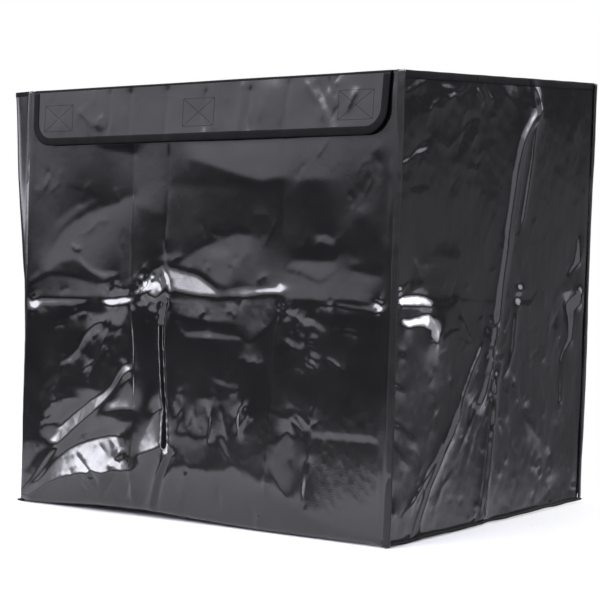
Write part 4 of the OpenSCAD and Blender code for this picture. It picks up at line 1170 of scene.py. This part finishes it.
right_top = side_edge(ysR, right_height, 1, 71, "right_top_tape")
left_top = side_edge(ysL, left_height, -1, 73, "left_top_tape")
right_bottom = side_edge(ysR, right_height, 1, 75, "right_bottom_tape", top=False)
left_bottom = side_edge(ysL, left_height, -1, 77, "left_bottom_tape", top=False)

# ---------------------------------------------------------------- flaps


def flap_shape(X, Z, wall_h, seed, fancy):
    """How far the flap's face stands off the wall's plane."""
    h = 3.0 + 0.04 * (H - Z) + 0.5 * vnoise(X, Z, 70, 50, seed) + 0.16 * vnoise(X, Z, 24, 26, seed + 1)
    h += 0.06 * vnoise(X, Z, 10, 12, seed + 2)
    h += fancy(X, Z)
    return h + 0.10 * np.maximum(wall_h(np.clip(X, -HW, HW), Z), 0)


def front_flap_folds(X, Z):
    h = crease(X, Z, [(-113, 545), (-115, 470)], -0.85, 4, 7, 0.7)
    h += crease(X, Z, [(-52, 545), (-52, 515), (-56, 470)], -0.9, 5, 6, 0.7)
    h += crease(X, Z, [(68, 545), (66, 500), (62, 470)], 0.8, 7, 4, 0.7)
    h += crease(X, Z, [(82, 540), (78, 500), (84, 474)], -0.9, 4, 5, 0.7)
    h += crease(X, Z, [(140, 545), (136, 512), (132, 470)], -1.0, 5, 4, 0.7)
    h += crease(X, Z, [(160, 540), (186, 510), (206, 480)], 0.6, 6, 6, 0.9)
    h += crease(X, Z, [(178, 540), (200, 505), (214, 480)], -0.5, 6, 6, 0.9)
    h += crease(X, Z, [(-210, 520), (-180, 500), (-150, 492)], 0.4, 4, 5, 0.8)
    h += crease(X, Z, [(100, 520), (95, 488)], 0.4, 5, 5, 0.9)
    h += crease(X, Z, [(-150, 545), (-148, 505), (-152, 480)], -0.8, 3, 5, 0.7)
    h += crease(X, Z, [(12, 540), (8, 505), (14, 480)], -0.8, 4, 4, 0.7)
    h += crease(X, Z, [(196, 545), (200, 520)], -0.8, 4, 4, 0.7)
    h += crumple(X, Z, 20, 510, 90, 9, 40, 0.5, 171, 80, 24)
    h += crumple(X, Z, -210, 510, 50, 7, 34, 0.45, 173, 80, 40)
    h += crumple(X, Z, 225, 500, 50, 7, 34, 0.5, 172, 70, 40)
    h += 0.05 * fold_noise(X, Z, 14, 30, 174)
    return h


def back_flap_folds(X, Z):
    h = crease(X, Z, [(-140, 545), (-136, 470)], -1.8, 12, 10, 1.2)
    h += crease(X, Z, [(60, 545), (64, 470)], 1.6, 12, 12, 1.4)
    h += crease(X, Z, [(190, 540), (170, 505), (150, 480)], 1.8, 10, 10, 1.2)
    h += bump(X, Z, -220, 500, 60, 18, 0, 1.2)
    return h


def flap_half_at(z):
    """Half the flap's length at height z, with its two lower corners rounded."""
    r = 30.0
    dz = np.clip(FZ + r - z, 0, r)
    return FA - 3.0 * (H - z) / (H - FZ) - (r - np.sqrt(np.maximum(r * r - dz * dz, 0)))


def flap_piece(name, side, wall_h, folds, seed, nx=191):
    zs = np.concatenate([
        FZ + 0.6 + 30 * (1 - np.cos(np.linspace(0, math.pi / 2, 12))),
        np.linspace(FZ + 30.6, H - 5.0, 20)[1:],
        [H - 3.6, H - 2.8],
    ])
    us = np.linspace(-1, 1, nx)
    U, Zg = np.meshgrid(us, zs, indexing="ij")
    A = flap_half_at(Zg) - 0.6
    Xg = U * A
    h = flap_shape(Xg, Zg, wall_h, seed, folds)
    body = np.stack([Xg, side * (HD + h), Zg], -1)
    # over the rim and down inside
    h0 = h[:, -1]
    x0 = Xg[:, -1]
    rows = []
    dip = 0.8 * vnoise(x0, x0 * 0, 55, 9, seed + 5)
    for t in np.linspace(0, 1, 11)[1:]:
        a = t * math.pi
        r_out = (h0 + 2.2) / 2
        yc = (h0 - 2.2) / 2
        y = yc + r_out * math.cos(a)
        z = (H - 2.8) + 2.6 * math.sin(a) * (0.9 + 0.1 * dip)
        rows.append(np.stack([x0, side * (HD + y), z], -1))
    for k in range(1, 7):
        rows.append(np.stack([x0, side * (HD - 2.4) + 0 * x0, np.full(x0.shape, H - 2.8 - 2.6 * k)], -1))
    P = np.concatenate([body, np.stack(rows, 1)], 1)
    Pw = warp(P)
    N = grid_normals(Pw[:, : len(zs)], (0, side, 0))
    du, dv = np.gradient(Pw, axis=0), np.gradient(Pw, axis=1)
    Nf = np.cross(du, dv)
    Nf /= np.linalg.norm(Nf, axis=-1, keepdims=True) + 1e-12
    if (Nf[:, : len(zs)] * N).sum() < 0:
        Nf = -Nf
    seg = np.linalg.norm(np.diff(P, axis=1), axis=2).mean(0)
    vv = np.concatenate([[0], np.cumsum(seg)])
    uv = np.stack([Xg[:, :1].repeat(P.shape[1], 1) * 0 + (us * FA)[:, None] + 400, np.tile(vv, (nx, 1)) + 900], -1) / 1000.0
    # the columns round the rim take that copy of the cloth: painted shade along the rim
    o = shell(name, Pw, Nf, uv, [M_VINYL, M_INNER, M_FOLD_SHADE], fold=(len(zs) - 2, len(zs) + 10))

    def face(x, z):
        return flap_shape(np.asarray(x, float), np.asarray(z, float), wall_h, seed, folds)

    return o, face


front_flap, face_front = flap_piece("front_flap_cloth", -1, front_height, front_flap_folds, 81)
back_flap, face_back = flap_piece("back_flap_cloth", 1, back_height, back_flap_folds, 85, 131)


def flap_binding(name, side, face, seed):
    r = 30.0 - TW / 2
    a = FA - TW / 2
    zb = FZ + TW / 2
    pts, out = [], []
    for z in np.arange(H - 4.0, zb + r, -2.1):
        pts.append((a, z))
        out.append((1, 0))
    for t in np.linspace(0, math.pi / 2, 18)[1:]:
        pts.append((a - r + r * math.cos(t), zb + r - r * math.sin(t)))
        out.append((math.cos(t), -math.sin(t)))
    for x in np.arange(a - r - 2.1, 0, -2.1):
        pts.append((x, zb))
        out.append((0, -1))
    pts, out = np.array(pts), np.array(out, float)
    pts[:, 0] -= 3.0 * (H - pts[:, 1]) / (H - FZ) * np.minimum(1, pts[:, 0] / (a - r))
    pts = np.vstack([pts, pts[::-1] * [-1, 1]])
    out = np.vstack([out, out[::-1] * [-1, 1]])
    x, z = pts[:, 0], pts[:, 1]
    e = 2.0
    y = face(x, z)
    y2 = face(x + out[:, 0] * e, z + out[:, 1] * e)
    C = np.stack([x, side * (HD + y - T / 2), z], -1)
    Wd = np.stack([out[:, 0], side * (y2 - y) / e, out[:, 1]], -1)
    Wd /= np.linalg.norm(Wd, axis=1, keepdims=True)
    tan = np.gradient(C, axis=0)
    Nd = np.cross(tan, Wd)
    Nd /= np.linalg.norm(Nd, axis=1, keepdims=True) + 1e-12
    if (Nd[:, 1] * side).sum() < 0:
        Nd = -Nd
    rings, along = band_rings(C, Wd, Nd, TW, 2.3, 16, seed, 0.12)
    return tube(name, warp(rings), along, [M_TAPE])


front_flap_tape = flap_binding("front_flap_tape", -1, face_front, 91)
back_flap_tape = flap_binding("back_flap_tape", 1, face_back, 92)

# ---------------------------------------------------------------- hook and loop patches, stitching


def patch_piece(name, side, gap_of, lo, hi, mat):
    """Three patches as one mesh: gap_of gives the outer face's stand-off at x, z."""
    objs = []
    V, F = [], []
    for cx in (-PX, 0.0, PX):
        xs = np.linspace(cx - PW / 2, cx + PW / 2, 25)
        zs = np.linspace(PZ - PH / 2, PZ + PH / 2, 17)
        Xp, Zp = np.meshgrid(xs, zs, indexing="ij")
        f = gap_of(Xp, Zp)
        edge = np.minimum(np.minimum(Xp - xs[0], xs[-1] - Xp), np.minimum(Zp - zs[0], zs[-1] - Zp))
        soft = 0.35 * (1 - smooth(0, 2.0, edge))
        outer = np.stack([Xp, side * (HD + f + hi - soft), Zp], -1)
        inner = np.stack([Xp, side * (HD + f + lo), Zp], -1)
        n = Xp.size
        idx = np.arange(n).reshape(Xp.shape)
        base = sum(len(v) for v in V)
        V.append(np.vstack([warp(outer).reshape(-1, 3), warp(inner).reshape(-1, 3)]))
        q = np.stack([idx[:-1, :-1], idx[1:, :-1], idx[1:, 1:], idx[:-1, 1:]], -1).reshape(-1, 4)
        if side > 0:
            q = q[:, ::-1]
        rim = []
        for r in (idx[:, 0][::-1], idx[-1, :][::-1], idx[:, -1], idx[0, :]):
            rim.append(np.stack([r[:-1], r[1:], r[1:] + n, r[:-1] + n], -1))
        rim = np.vstack(rim)
        if side > 0:
            rim = rim[:, ::-1]
        F.append(np.vstack([q, q[:, ::-1] + n, rim]) + base)
    m = bpy.data.meshes.new(name)
    m.from_pydata((np.vstack(V) / 1000.0).tolist(), [], [tuple(int(i) for i in f) for f in np.vstack(F)])
    m.update()
    m.materials.append(mat)
    o = bpy.data.objects.new(name, m)
    bpy.context.scene.collection.objects.link(o)
    return o


front_loop = patch_piece("front_loop_tape", -1, lambda x, z: front_height(x, z), -0.1, 1.0, M_LOOP)
back_loop = patch_piece("back_loop_tape", 1, lambda x, z: back_height(x, z), -0.1, 1.0, M_LOOP)
front_hook = patch_piece("front_hook_tape", -1, lambda x, z: face_front(x, z) - T, -1.0, 0.05, M_HOOK)
back_hook = patch_piece("back_hook_tape", 1, lambda x, z: face_back(x, z) - T, -1.0, 0.05, M_HOOK)


def stitches(name, runs, point, lift=0.18, pitch=3.4, length=2.8, width=1.1, thick=0.6):
    """Rows of thread: each run is a polyline in the face's own plane, point(u, v) gives its place and normal."""
    V, F = [], []
    k = 8
    ring = np.linspace(0, 2 * math.pi, k, endpoint=False)
    at_all = []
    for pts in runs:
        p = np.array(pts, float)
        seg = np.linalg.norm(np.diff(p, axis=0), axis=1)
        at = np.concatenate([[0], np.cumsum(seg)])
        count = max(1, int(at[-1] / pitch))
        c = (np.arange(count) + 0.5) * at[-1] / count
        q = np.clip(c[:, None] + np.array([-1, -0.55, 0, 0.55, 1]) * length / 2, 0, at[-1])
        at_all.append(np.stack([np.interp(q, at, p[:, 0]), np.interp(q, at, p[:, 1])], -1))
    ends = np.concatenate(at_all)
    P, N = point(ends[..., 0].ravel(), ends[..., 1].ravel())
    P, N = P.reshape(-1, 5, 3), N.reshape(-1, 5, 3)
    tan = np.gradient(P, axis=1)
    tan /= np.linalg.norm(tan, axis=2, keepdims=True) + 1e-9
    side = np.cross(N, tan)
    side /= np.linalg.norm(side, axis=2, keepdims=True) + 1e-9
    grow = np.array([0.15, 0.8, 1.0, 0.8, 0.15])[None, :, None]
    mid = P + N * (lift * grow - 0.1)
    rr = (
        mid[:, :, None, :]
        + side[:, :, None, :] * (np.cos(ring)[None, None, :] * (width / 2 * grow))[..., None]
        + N[:, :, None, :] * (np.sin(ring)[None, None, :] * (thick / 2 * grow))[..., None]
    )
    V = [rr.reshape(-1, 3)]
    one = np.arange(5 * k).reshape(5, k)
    nx = np.roll(one, -1, axis=1)
    q = np.stack([one[:-1], nx[:-1], nx[1:], one[1:]], -1).reshape(-1, 4)
    for i in range(len(P)):
        b = i * 5 * k
        F += (q + b).tolist()
        F.append((one[0][::-1] + b).tolist())
        F.append((one[-1] + b).tolist())
    m = bpy.data.meshes.new(name)
    m.from_pydata((np.vstack(V) / 1000.0).tolist(), [], F)
    m.update()
    m.polygons.foreach_set("use_smooth", np.ones(len(m.polygons), bool))
    m.materials.append(M_THREAD)
    o = bpy.data.objects.new(name, m)
    bpy.context.scene.collection.objects.link(o)
    return o


def flap_point(side, face):
    def point(x, z):
        e = 1.0
        f = lambda a, b: warp(np.stack([a, side * (HD + face(a, b)), b], -1))
        P = f(x, z)
        N = np.cross(f(x + e, z) - P, f(x, z + e) - P)
        N /= np.linalg.norm(N, axis=1, keepdims=True) + 1e-12
        return P, N * np.sign((N[:, 1] * side).sum())

    return point


def box_runs():
    runs = []
    a, b = PW / 2 - 2, PH / 2 - 2
    for cx in (-PX, 0.0, PX):
        c = [(cx - a, PZ - b), (cx + a, PZ - b), (cx + a, PZ + b), (cx - a, PZ + b)]
        for k in range(4):
            p, q = np.array(c[k]), np.array(c[(k + 1) % 4])
            runs.append([tuple(p + (q - p) * t) for t in np.linspace(0, 1, 8)])
        for p, q in ((c[3], c[1]), (c[2], c[0])):
            p, q = np.array(p), np.array(q)
            runs.append([tuple(p + (q - p) * t) for t in np.linspace(0.02, 0.98, 9)])
    return runs


front_stitch = stitches("front_flap_thread", box_runs(), flap_point(-1, face_front))
back_stitch = stitches("back_flap_thread", box_runs(), flap_point(1, face_back))

# ---------------------------------------------------------------- floor


def floor_wave(x, y, seed):
    w = 0.7 + 0.6 * vnoise(x, y, 60, 60, seed)
    return np.maximum(w, 0.05)


def floor_front_piece():
    """The turn at the foot of the front wall and a short strip of floor, with their normals."""
    rows = FWw[:, : n_low + 1]
    nrm = FN[:, : n_low + 1]
    return rows, nrm


def floor_half(name, side, FWg, n_low_, Xrow, h0):
    # the turn, then the trapezium, as one grid: rows run from the wall inward
    rows = []
    a = HW - 1.0
    us = np.linspace(-1, 1, len(Xrow))
    for t in np.linspace(0, 1, 8):
        ang = t * math.pi / 2
        y = ROLL * (1 - math.cos(ang))
        z = ROLL * (1 - math.sin(ang))
        x = us * (a - 0.9 * y)
        hh = np.interp(x, Xrow, h0)
        rows.append(np.stack([x, side * (HD + hh * math.cos(ang) - y), np.full(x.shape, z)], -1))
    ys = np.concatenate([[ROLL + 3, ROLL + 7], np.linspace(ROLL + 12, HD, 46)])
    for y in ys:
        x = us * (a - 0.985 * y)
        zz = floor_wave(x, np.full(x.shape, side * (HD - y)), 101) * smooth(ROLL, ROLL + 40, y) + 0.1
        rows.append(np.stack([x, np.full(x.shape, side * (HD - y)), zz + T], -1))
    P = np.stack(rows, 1)
    # the wall's outer face is the floor's under face
    P[:, :8, :] = P[:, :8, :]
    return P


def build_floor(side, Xrow, h0):
    P = floor_half("f", side, None, 0, Xrow, h0)
    Pw = warp(P)
    Pw[..., 2] = np.maximum(Pw[..., 2], 0.05)
    du, dv = np.gradient(Pw, axis=0), np.gradient(Pw, axis=1)
    N = np.cross(du, dv)
    N /= np.linalg.norm(N, axis=-1, keepdims=True) + 1e-12
    if (N[:, -1, 2]).mean() > 0:
        N = -N
    return P, Pw, N


def cut_floor(name, side, P, Pw, N, at):
    ysv = side * P[0, :, 1]
    ysv = HD - ysv
    j = int(np.argmin(np.abs((HD - side * P[0, :, 1]) - at)))
    seg = np.linalg.norm(np.diff(P, axis=1), axis=2).mean(0)
    vv = np.concatenate([[0], np.cumsum(seg)])
    uv = np.stack([P[..., 0] + 400, np.tile(vv, (P.shape[0], 1)) + 1200], -1) / 1000.0
    # the sheet's outer face looks down; its thickness grows upward
    a = shell(name, Pw[:, : j + 1], N[:, : j + 1], uv[:, : j + 1], [M_VINYL, M_INNER])
    return a, j, uv


PF, PFw, NF = build_floor(-1, X[:, 0], h_front[:, 0])
PB, PBw, NB = build_floor(1, XB[:, 0], h_back[:, 0])
MID = 60.0
floor_front, jf, uvf = cut_floor("floor_front_cloth", -1, PF, PFw, NF, HD - MID)
floor_back, jb, uvb = cut_floor("floor_back_cloth", 1, PB, PBw, NB, HD - MID)

# the middle strip of the floor
us = np.linspace(-1, 1, 91)
yv = np.linspace(-MID - 0.0, MID, 41)
Um, Ym = np.meshgrid(us, yv, indexing="ij")
half = (HW - 1.0) - 0.985 * (HD - np.abs(Ym))
Xm = Um * half
Zm = floor_wave(Xm, Ym, 101) + 0.1 + T
Zm = Zm + 1.2 * np.exp(-np.abs(Ym) / 6.0)
PM = np.stack([Xm, Ym, Zm], -1)
PMw = warp(PM)
NM = grid_normals(PMw, (0, 0, -1))
uvm = np.stack([Xm + 400, Ym + 1600], -1) / 1000.0
floor_middle = shell("floor_middle_cloth", PMw, NM, uvm, [M_VINYL, M_INNER])


def corner_piece(name, s, side):
    """The triangle of floor beside a side wall. It laps over the trapezium."""
    n = 46
    lap = 13.0
    inner = HW - 1.0
    depth = HD - 1.0
    a = np.linspace(0, 1, n)
    b = np.linspace(0, 1, n)
    A, B = np.meshgrid(a, b, indexing="ij")
    # A runs from the side wall inward, B from the corner to the middle of the side
    y = depth * (1 - B)  # distance from the middle line
    reach = np.clip((depth - y) + lap, 2.0, depth)
    x = inner - A * reach
    P = np.stack([s * x, side * y, 1.9 + T + 0.5 * floor_wave(x, y, 111) + 0.0 * x], -1)
    Pw = warp(P)
    N = grid_normals(Pw, (0, 0, -1))
    uv = np.stack([P[..., 0] + 400, P[..., 1] + 2100], -1) / 1000.0
    return shell(name, Pw, N, uv, [M_INNER, M_INNER])


corner_fr = corner_piece("floor_corner_front_right_cloth", 1, -1)
corner_br = corner_piece("floor_corner_back_right_cloth", 1, 1)
corner_fl = corner_piece("floor_corner_front_left_cloth", -1, -1)
corner_bl = corner_piece("floor_corner_back_left_cloth", -1, 1)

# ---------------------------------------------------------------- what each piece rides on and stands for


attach(front_wall, "front_wall_body")
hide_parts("front_wall")
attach(back_wall, "back_wall_body")
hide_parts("back_wall")

for o, body, node in (
    (bind_fr, "front_wall_body", "right_front_seam_binding"),
    (bind_fl, "front_wall_body", "left_front_seam_binding"),
    (bind_br, "back_wall_body", "right_back_seam_binding"),
    (bind_bl, "back_wall_body", "left_back_seam_binding"),
):
    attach(o, body)
    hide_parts(node)

for o, body, node, sl in (
    (front_loop, "front_wall_body", "front_loop_patches", "loop_tape"),
    (back_loop, "back_wall_body", "back_loop_patches", "loop_tape"),
    (front_hook, "front_flap_body", "front_hook_patches", "hook_tape"),
    (back_hook, "back_flap_body", "back_hook_patches", "hook_tape"),
    (front_stitch, "front_flap_body", "front_flap_stitching", "thread"),
    (back_stitch, "back_flap_body", "back_flap_stitching", "thread"),
):
    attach(o, body)
    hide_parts(node)

for o, a, b, s, node, sl in (
    (front_flap, "front_wall_body", "front_flap_body", -1, "front_flap", "vinyl"),
    (front_flap_tape, "front_wall_body", "front_flap_body", -1, "front_flap_binding", "binding_tape"),
    (back_flap, "back_wall_body", "back_flap_body", 1, "back_flap", "vinyl"),
    (back_flap_tape, "back_wall_body", "back_flap_body", 1, "back_flap_binding", "binding_tape"),
):
    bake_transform(o)
    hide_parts(node)

for groups, s, tag in ((((right_side, "vinyl"), (right_top, "binding_tape"), (right_bottom, "binding_tape")), 1, "right"),
                       (((left_side, "vinyl"), (left_top, "binding_tape"), (left_bottom, "binding_tape")), -1, "left")):
    for (three, sl), suffix in zip(groups, ("", "_top_binding", "_bottom_binding")):
        for (o, a, b), part in zip(three, ("front", "middle", "back")):
            if part == "front":
                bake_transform(o)
                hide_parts(f"{tag}_side_front{suffix}")
            elif part == "middle":
                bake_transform(o)
            elif tag == "right":
                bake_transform(o)
                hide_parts(f"{tag}_side_back{suffix}")
            else:
                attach(o, "left_side_back_body")
                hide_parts(f"{tag}_side_back{suffix}")

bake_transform(floor_front)
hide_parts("floor_front")
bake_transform(floor_middle)
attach(floor_back, "floor_back_body")
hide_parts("floor_back")

for o, s, side_body, body, node in (
    (corner_fr, 1, "right_side_front_body", "corner_front_right_body", "floor_corner_front_right"),
    (corner_br, 1, "right_side_back_body", "corner_back_right_body", "floor_corner_back_right"),
    (corner_fl, -1, "left_side_front_body", "corner_front_left_body", "floor_corner_front_left"),
    (corner_bl, -1, "left_side_back_body", "corner_back_left_body", "floor_corner_back_left"),
):
    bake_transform(o)
    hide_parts(node)

# ---------------------------------------------------------------- floor, light and camera


def stage_floor():
    bpy.ops.mesh.primitive_circle_add(vertices=96, radius=4.0, fill_type="NGON", location=(-0.7 * HW / 1000, -2.0 * HD / 1000, -0.0002))
    o = bpy.context.object
    o.name = "studio_floor"
    m = bpy.data.materials.new("studio_floor")
    m.use_nodes = True
    t = m.node_tree
    b = t.nodes["Principled BSDF"]
    b.inputs["Base Color"].default_value = (0.34, 0.34, 0.345, 1)
    b.inputs["Roughness"].default_value = 0.9
    b.inputs["Specular IOR Level"].default_value = 0.1
    c = t.nodes.new("ShaderNodeTexCoord")
    fades = []
    for at, near, far in (((0, 0, 0), FLOOR_IN, FLOOR_OUT), ((-0.245, 0.795, 0), 0.3, 0.62)):
        ln = t.nodes.new("ShaderNodeVectorMath")
        ln.operation = "DISTANCE"
        ln.inputs[1].default_value = at
        t.links.new(c.outputs["Object"], ln.inputs[0])
        mp = t.nodes.new("ShaderNodeMapRange")
        mp.interpolation_type = "SMOOTHSTEP"
        mp.inputs["From Min"].default_value = near
        mp.inputs["From Max"].default_value = far
        t.links.new(ln.outputs["Value"], mp.inputs["Value"])
        fades.append(mp.outputs[0])
    least = t.nodes.new("ShaderNodeMath")
    least.operation = "MINIMUM"
    t.links.new(fades[0], least.inputs[0])
    t.links.new(fades[1], least.inputs[1])
    # clear from underneath, so the bag's bottom can be looked at
    under = t.nodes.new("ShaderNodeNewGeometry")
    clear = t.nodes.new("ShaderNodeMath")
    clear.operation = "MAXIMUM"
    t.links.new(least.outputs[0], clear.inputs[0])
    t.links.new(under.outputs["Backfacing"], clear.inputs[1])
    tr = t.nodes.new("ShaderNodeBsdfTransparent")
    mx = t.nodes.new("ShaderNodeMixShader")
    t.links.new(clear.outputs[0], mx.inputs[0])
    t.links.new(b.outputs[0], mx.inputs[1])
    t.links.new(tr.outputs[0], mx.inputs[2])
    t.links.new(mx.outputs[0], t.nodes["Material Output"].inputs["Surface"])
    o.data.materials.append(m)
    return o


FLOOR_IN, FLOOR_OUT = 0.42, 1.0
stage_floor()


def area(name, loc, target, sx, sy, power, spread=None):
    l = bpy.data.lights.new(name, "AREA")
    l.shape = "RECTANGLE"
    l.size, l.size_y = sx, sy
    l.energy = power
    if spread:
        l.spread = math.radians(spread)
    o = bpy.data.objects.new(name, l)
    o.location = loc
    o.rotation_mode = "QUATERNION"
    o.rotation_quaternion = (Vector(target) - Vector(loc)).to_track_quat("-Z", "Y")
    bpy.context.scene.collection.objects.link(o)
    return o


def studio_world():
    w = bpy.data.worlds.new("studio")
    bpy.context.scene.world = w
    w.use_nodes = True
    t = w.node_tree
    for n in list(t.nodes):
        t.nodes.remove(n)
    out = t.nodes.new("ShaderNodeOutputWorld")
    bg = t.nodes.new("ShaderNodeBackground")
    white = t.nodes.new("ShaderNodeBackground")
    white.inputs["Color"].default_value = (1, 1, 1, 1)
    white.inputs["Strength"].default_value = 1.0
    mix = t.nodes.new("ShaderNodeMixShader")
    lp = t.nodes.new("ShaderNodeLightPath")
    t.links.new(lp.outputs["Is Camera Ray"], mix.inputs[0])
    t.links.new(bg.outputs[0], mix.inputs[1])
    t.links.new(white.outputs[0], mix.inputs[2])
    t.links.new(mix.outputs[0], out.inputs["Surface"])
    tc = t.nodes.new("ShaderNodeTexCoord")
    sep = t.nodes.new("ShaderNodeSeparateXYZ")
    t.links.new(tc.outputs["Generated"], sep.inputs[0])

    def mth(op, a, b=None):
        n = t.nodes.new("ShaderNodeMath")
        n.operation = op
        for i, v in enumerate((a, b)):
            if v is None:
                continue
            if isinstance(v, (int, float)):
                n.inputs[i].default_value = v
            else:
                t.links.new(v, n.inputs[i])
        return n.outputs[0]

    def window(v, a, b, c, d):
        """0 below a, 1 from b to c, 0 above d."""
        r = []
        for lo, hi in ((a, b), (c, d)):
            n = t.nodes.new("ShaderNodeMapRange")
            n.interpolation_type = "SMOOTHSTEP"
            n.inputs["From Min"].default_value = lo
            n.inputs["From Max"].default_value = hi
            t.links.new(v, n.inputs["Value"])
            r.append(n.outputs[0])
        return mth("MULTIPLY", r[0], mth("SUBTRACT", 1.0, r[1]))

    az = mth("ARCTAN2", sep.outputs[1], sep.outputs[0])  # -pi to pi, 0 along +X
    el = mth("ARCSINE", sep.outputs[2])
    rad = math.radians
    total = None
    for amp, (a0, a1, a2, a3), (e0, e1, e2, e3) in WORLD:
        v = window(el, rad(e0), rad(e1), rad(e2), rad(e3))
        if a0 > -400:
            v = mth("MULTIPLY", v, window(az, rad(a0), rad(a1), rad(a2), rad(a3)))
        v = mth("MULTIPLY", v, float(amp))
        total = v if total is None else mth("ADD", total, v)
    t.links.new(total, bg.inputs["Strength"])
    bg.inputs["Color"].default_value = (0.955, 0.95, 1.045, 1)


ANY = (-999, -999, 999, 999)
# strength, azimuth window and elevation window in degrees; azimuth 0 is +X, -90 is towards the front
WORLD = [
    (0.05, ANY, (-95, -90, 91, 95)),
    # a low panel and a large soft box in front, with a narrow strip at each side of them
    (1.3, (-168, -160, -84, -74), (-0.2, 6.0, 12, 16)),
    (14.0, (-172, -160, -98, -84), (12, 20, 50, 62)),
    (3.0, (-180, -178, -173, -169), (-9, -5, 40, 50)),
    (8.0, (-84, -80, -75, -71), (-9, -5, 40, 50)),
    (1.8, ANY, (66, 76, 91, 95)),
    # the end wall's own soft box, strip and low fill
    (14.0, (22, 32, 84, 98), (13, 22, 54, 64)),
    (2.2, (22, 32, 84, 98), (6.0, 9, 13, 17)),
    (1.5, (-2, 4, 20, 30), (-8, -2, 34, 46)),
    (7.0, (-16, -12, -6, -2), (-9, -5, 40, 50)),
    # the far floor, and the boxes behind and on the left
    (1.3, ANY, (-80, -62, -16, -9)),
    (9.0, (104, 112, 158, 168), (12, 20, 50, 62)),
    (1.5, (104, 112, 166, 176), (0, 5, 13, 17)),
    (0.26, (14, 30, 100, 120), (-16, -9, -2.5, 2.0)),
    (0.05, (14, 30, 100, 120), (0, 3, 10, 14)),
]
studio_world()
area("key_soft", (-0.3, -0.72, 2.0), (-0.25, -0.6, 0.0), 1.3, 1.1, 52)
area("fill_soft", (0.9, 0.4, 2.2), (0, 0, 0.2), 1.4, 1.2, 10)

cam = bpy.data.cameras.new("camera")
cam_o = bpy.data.objects.new("camera", cam)
bpy.context.scene.collection.objects.link(cam_o)
cam.lens = 120.0
cam.sensor_width = 36.0
cam.sensor_fit = "HORIZONTAL"
cam.clip_start, cam.clip_end = 0.05, 50
yaw, pitch, roll = math.radians(37.71), math.radians(-2.96), math.radians(0.03)
fwd = Vector((-math.sin(yaw) * math.cos(pitch), math.cos(yaw) * math.cos(pitch), math.sin(pitch)))
rgt = Vector((math.cos(yaw), math.sin(yaw), 0))
upv = rgt.cross(fwd)
R = math.cos(roll) * rgt - math.sin(roll) * upv
U = math.sin(roll) * rgt + math.cos(roll) * upv
# the camera stands this many heights and widths from the bag's own box
hgt = H / 1000.0
cam_at = Vector((HW / 1000.0 + 2.4067 * hgt, -HD / 1000.0 - 3.4015 * hgt, 0.7371 * hgt))
M = Matrix.Identity(4)
for i in range(3):
    M[i][0], M[i][1], M[i][2], M[i][3] = R[i], U[i], -fwd[i], cam_at[i]
cam_o.matrix_world = M
bpy.context.scene.camera = cam_o

bpy.context.scene.view_settings.view_transform = "Standard"
bpy.context.scene.view_settings.look = "None"
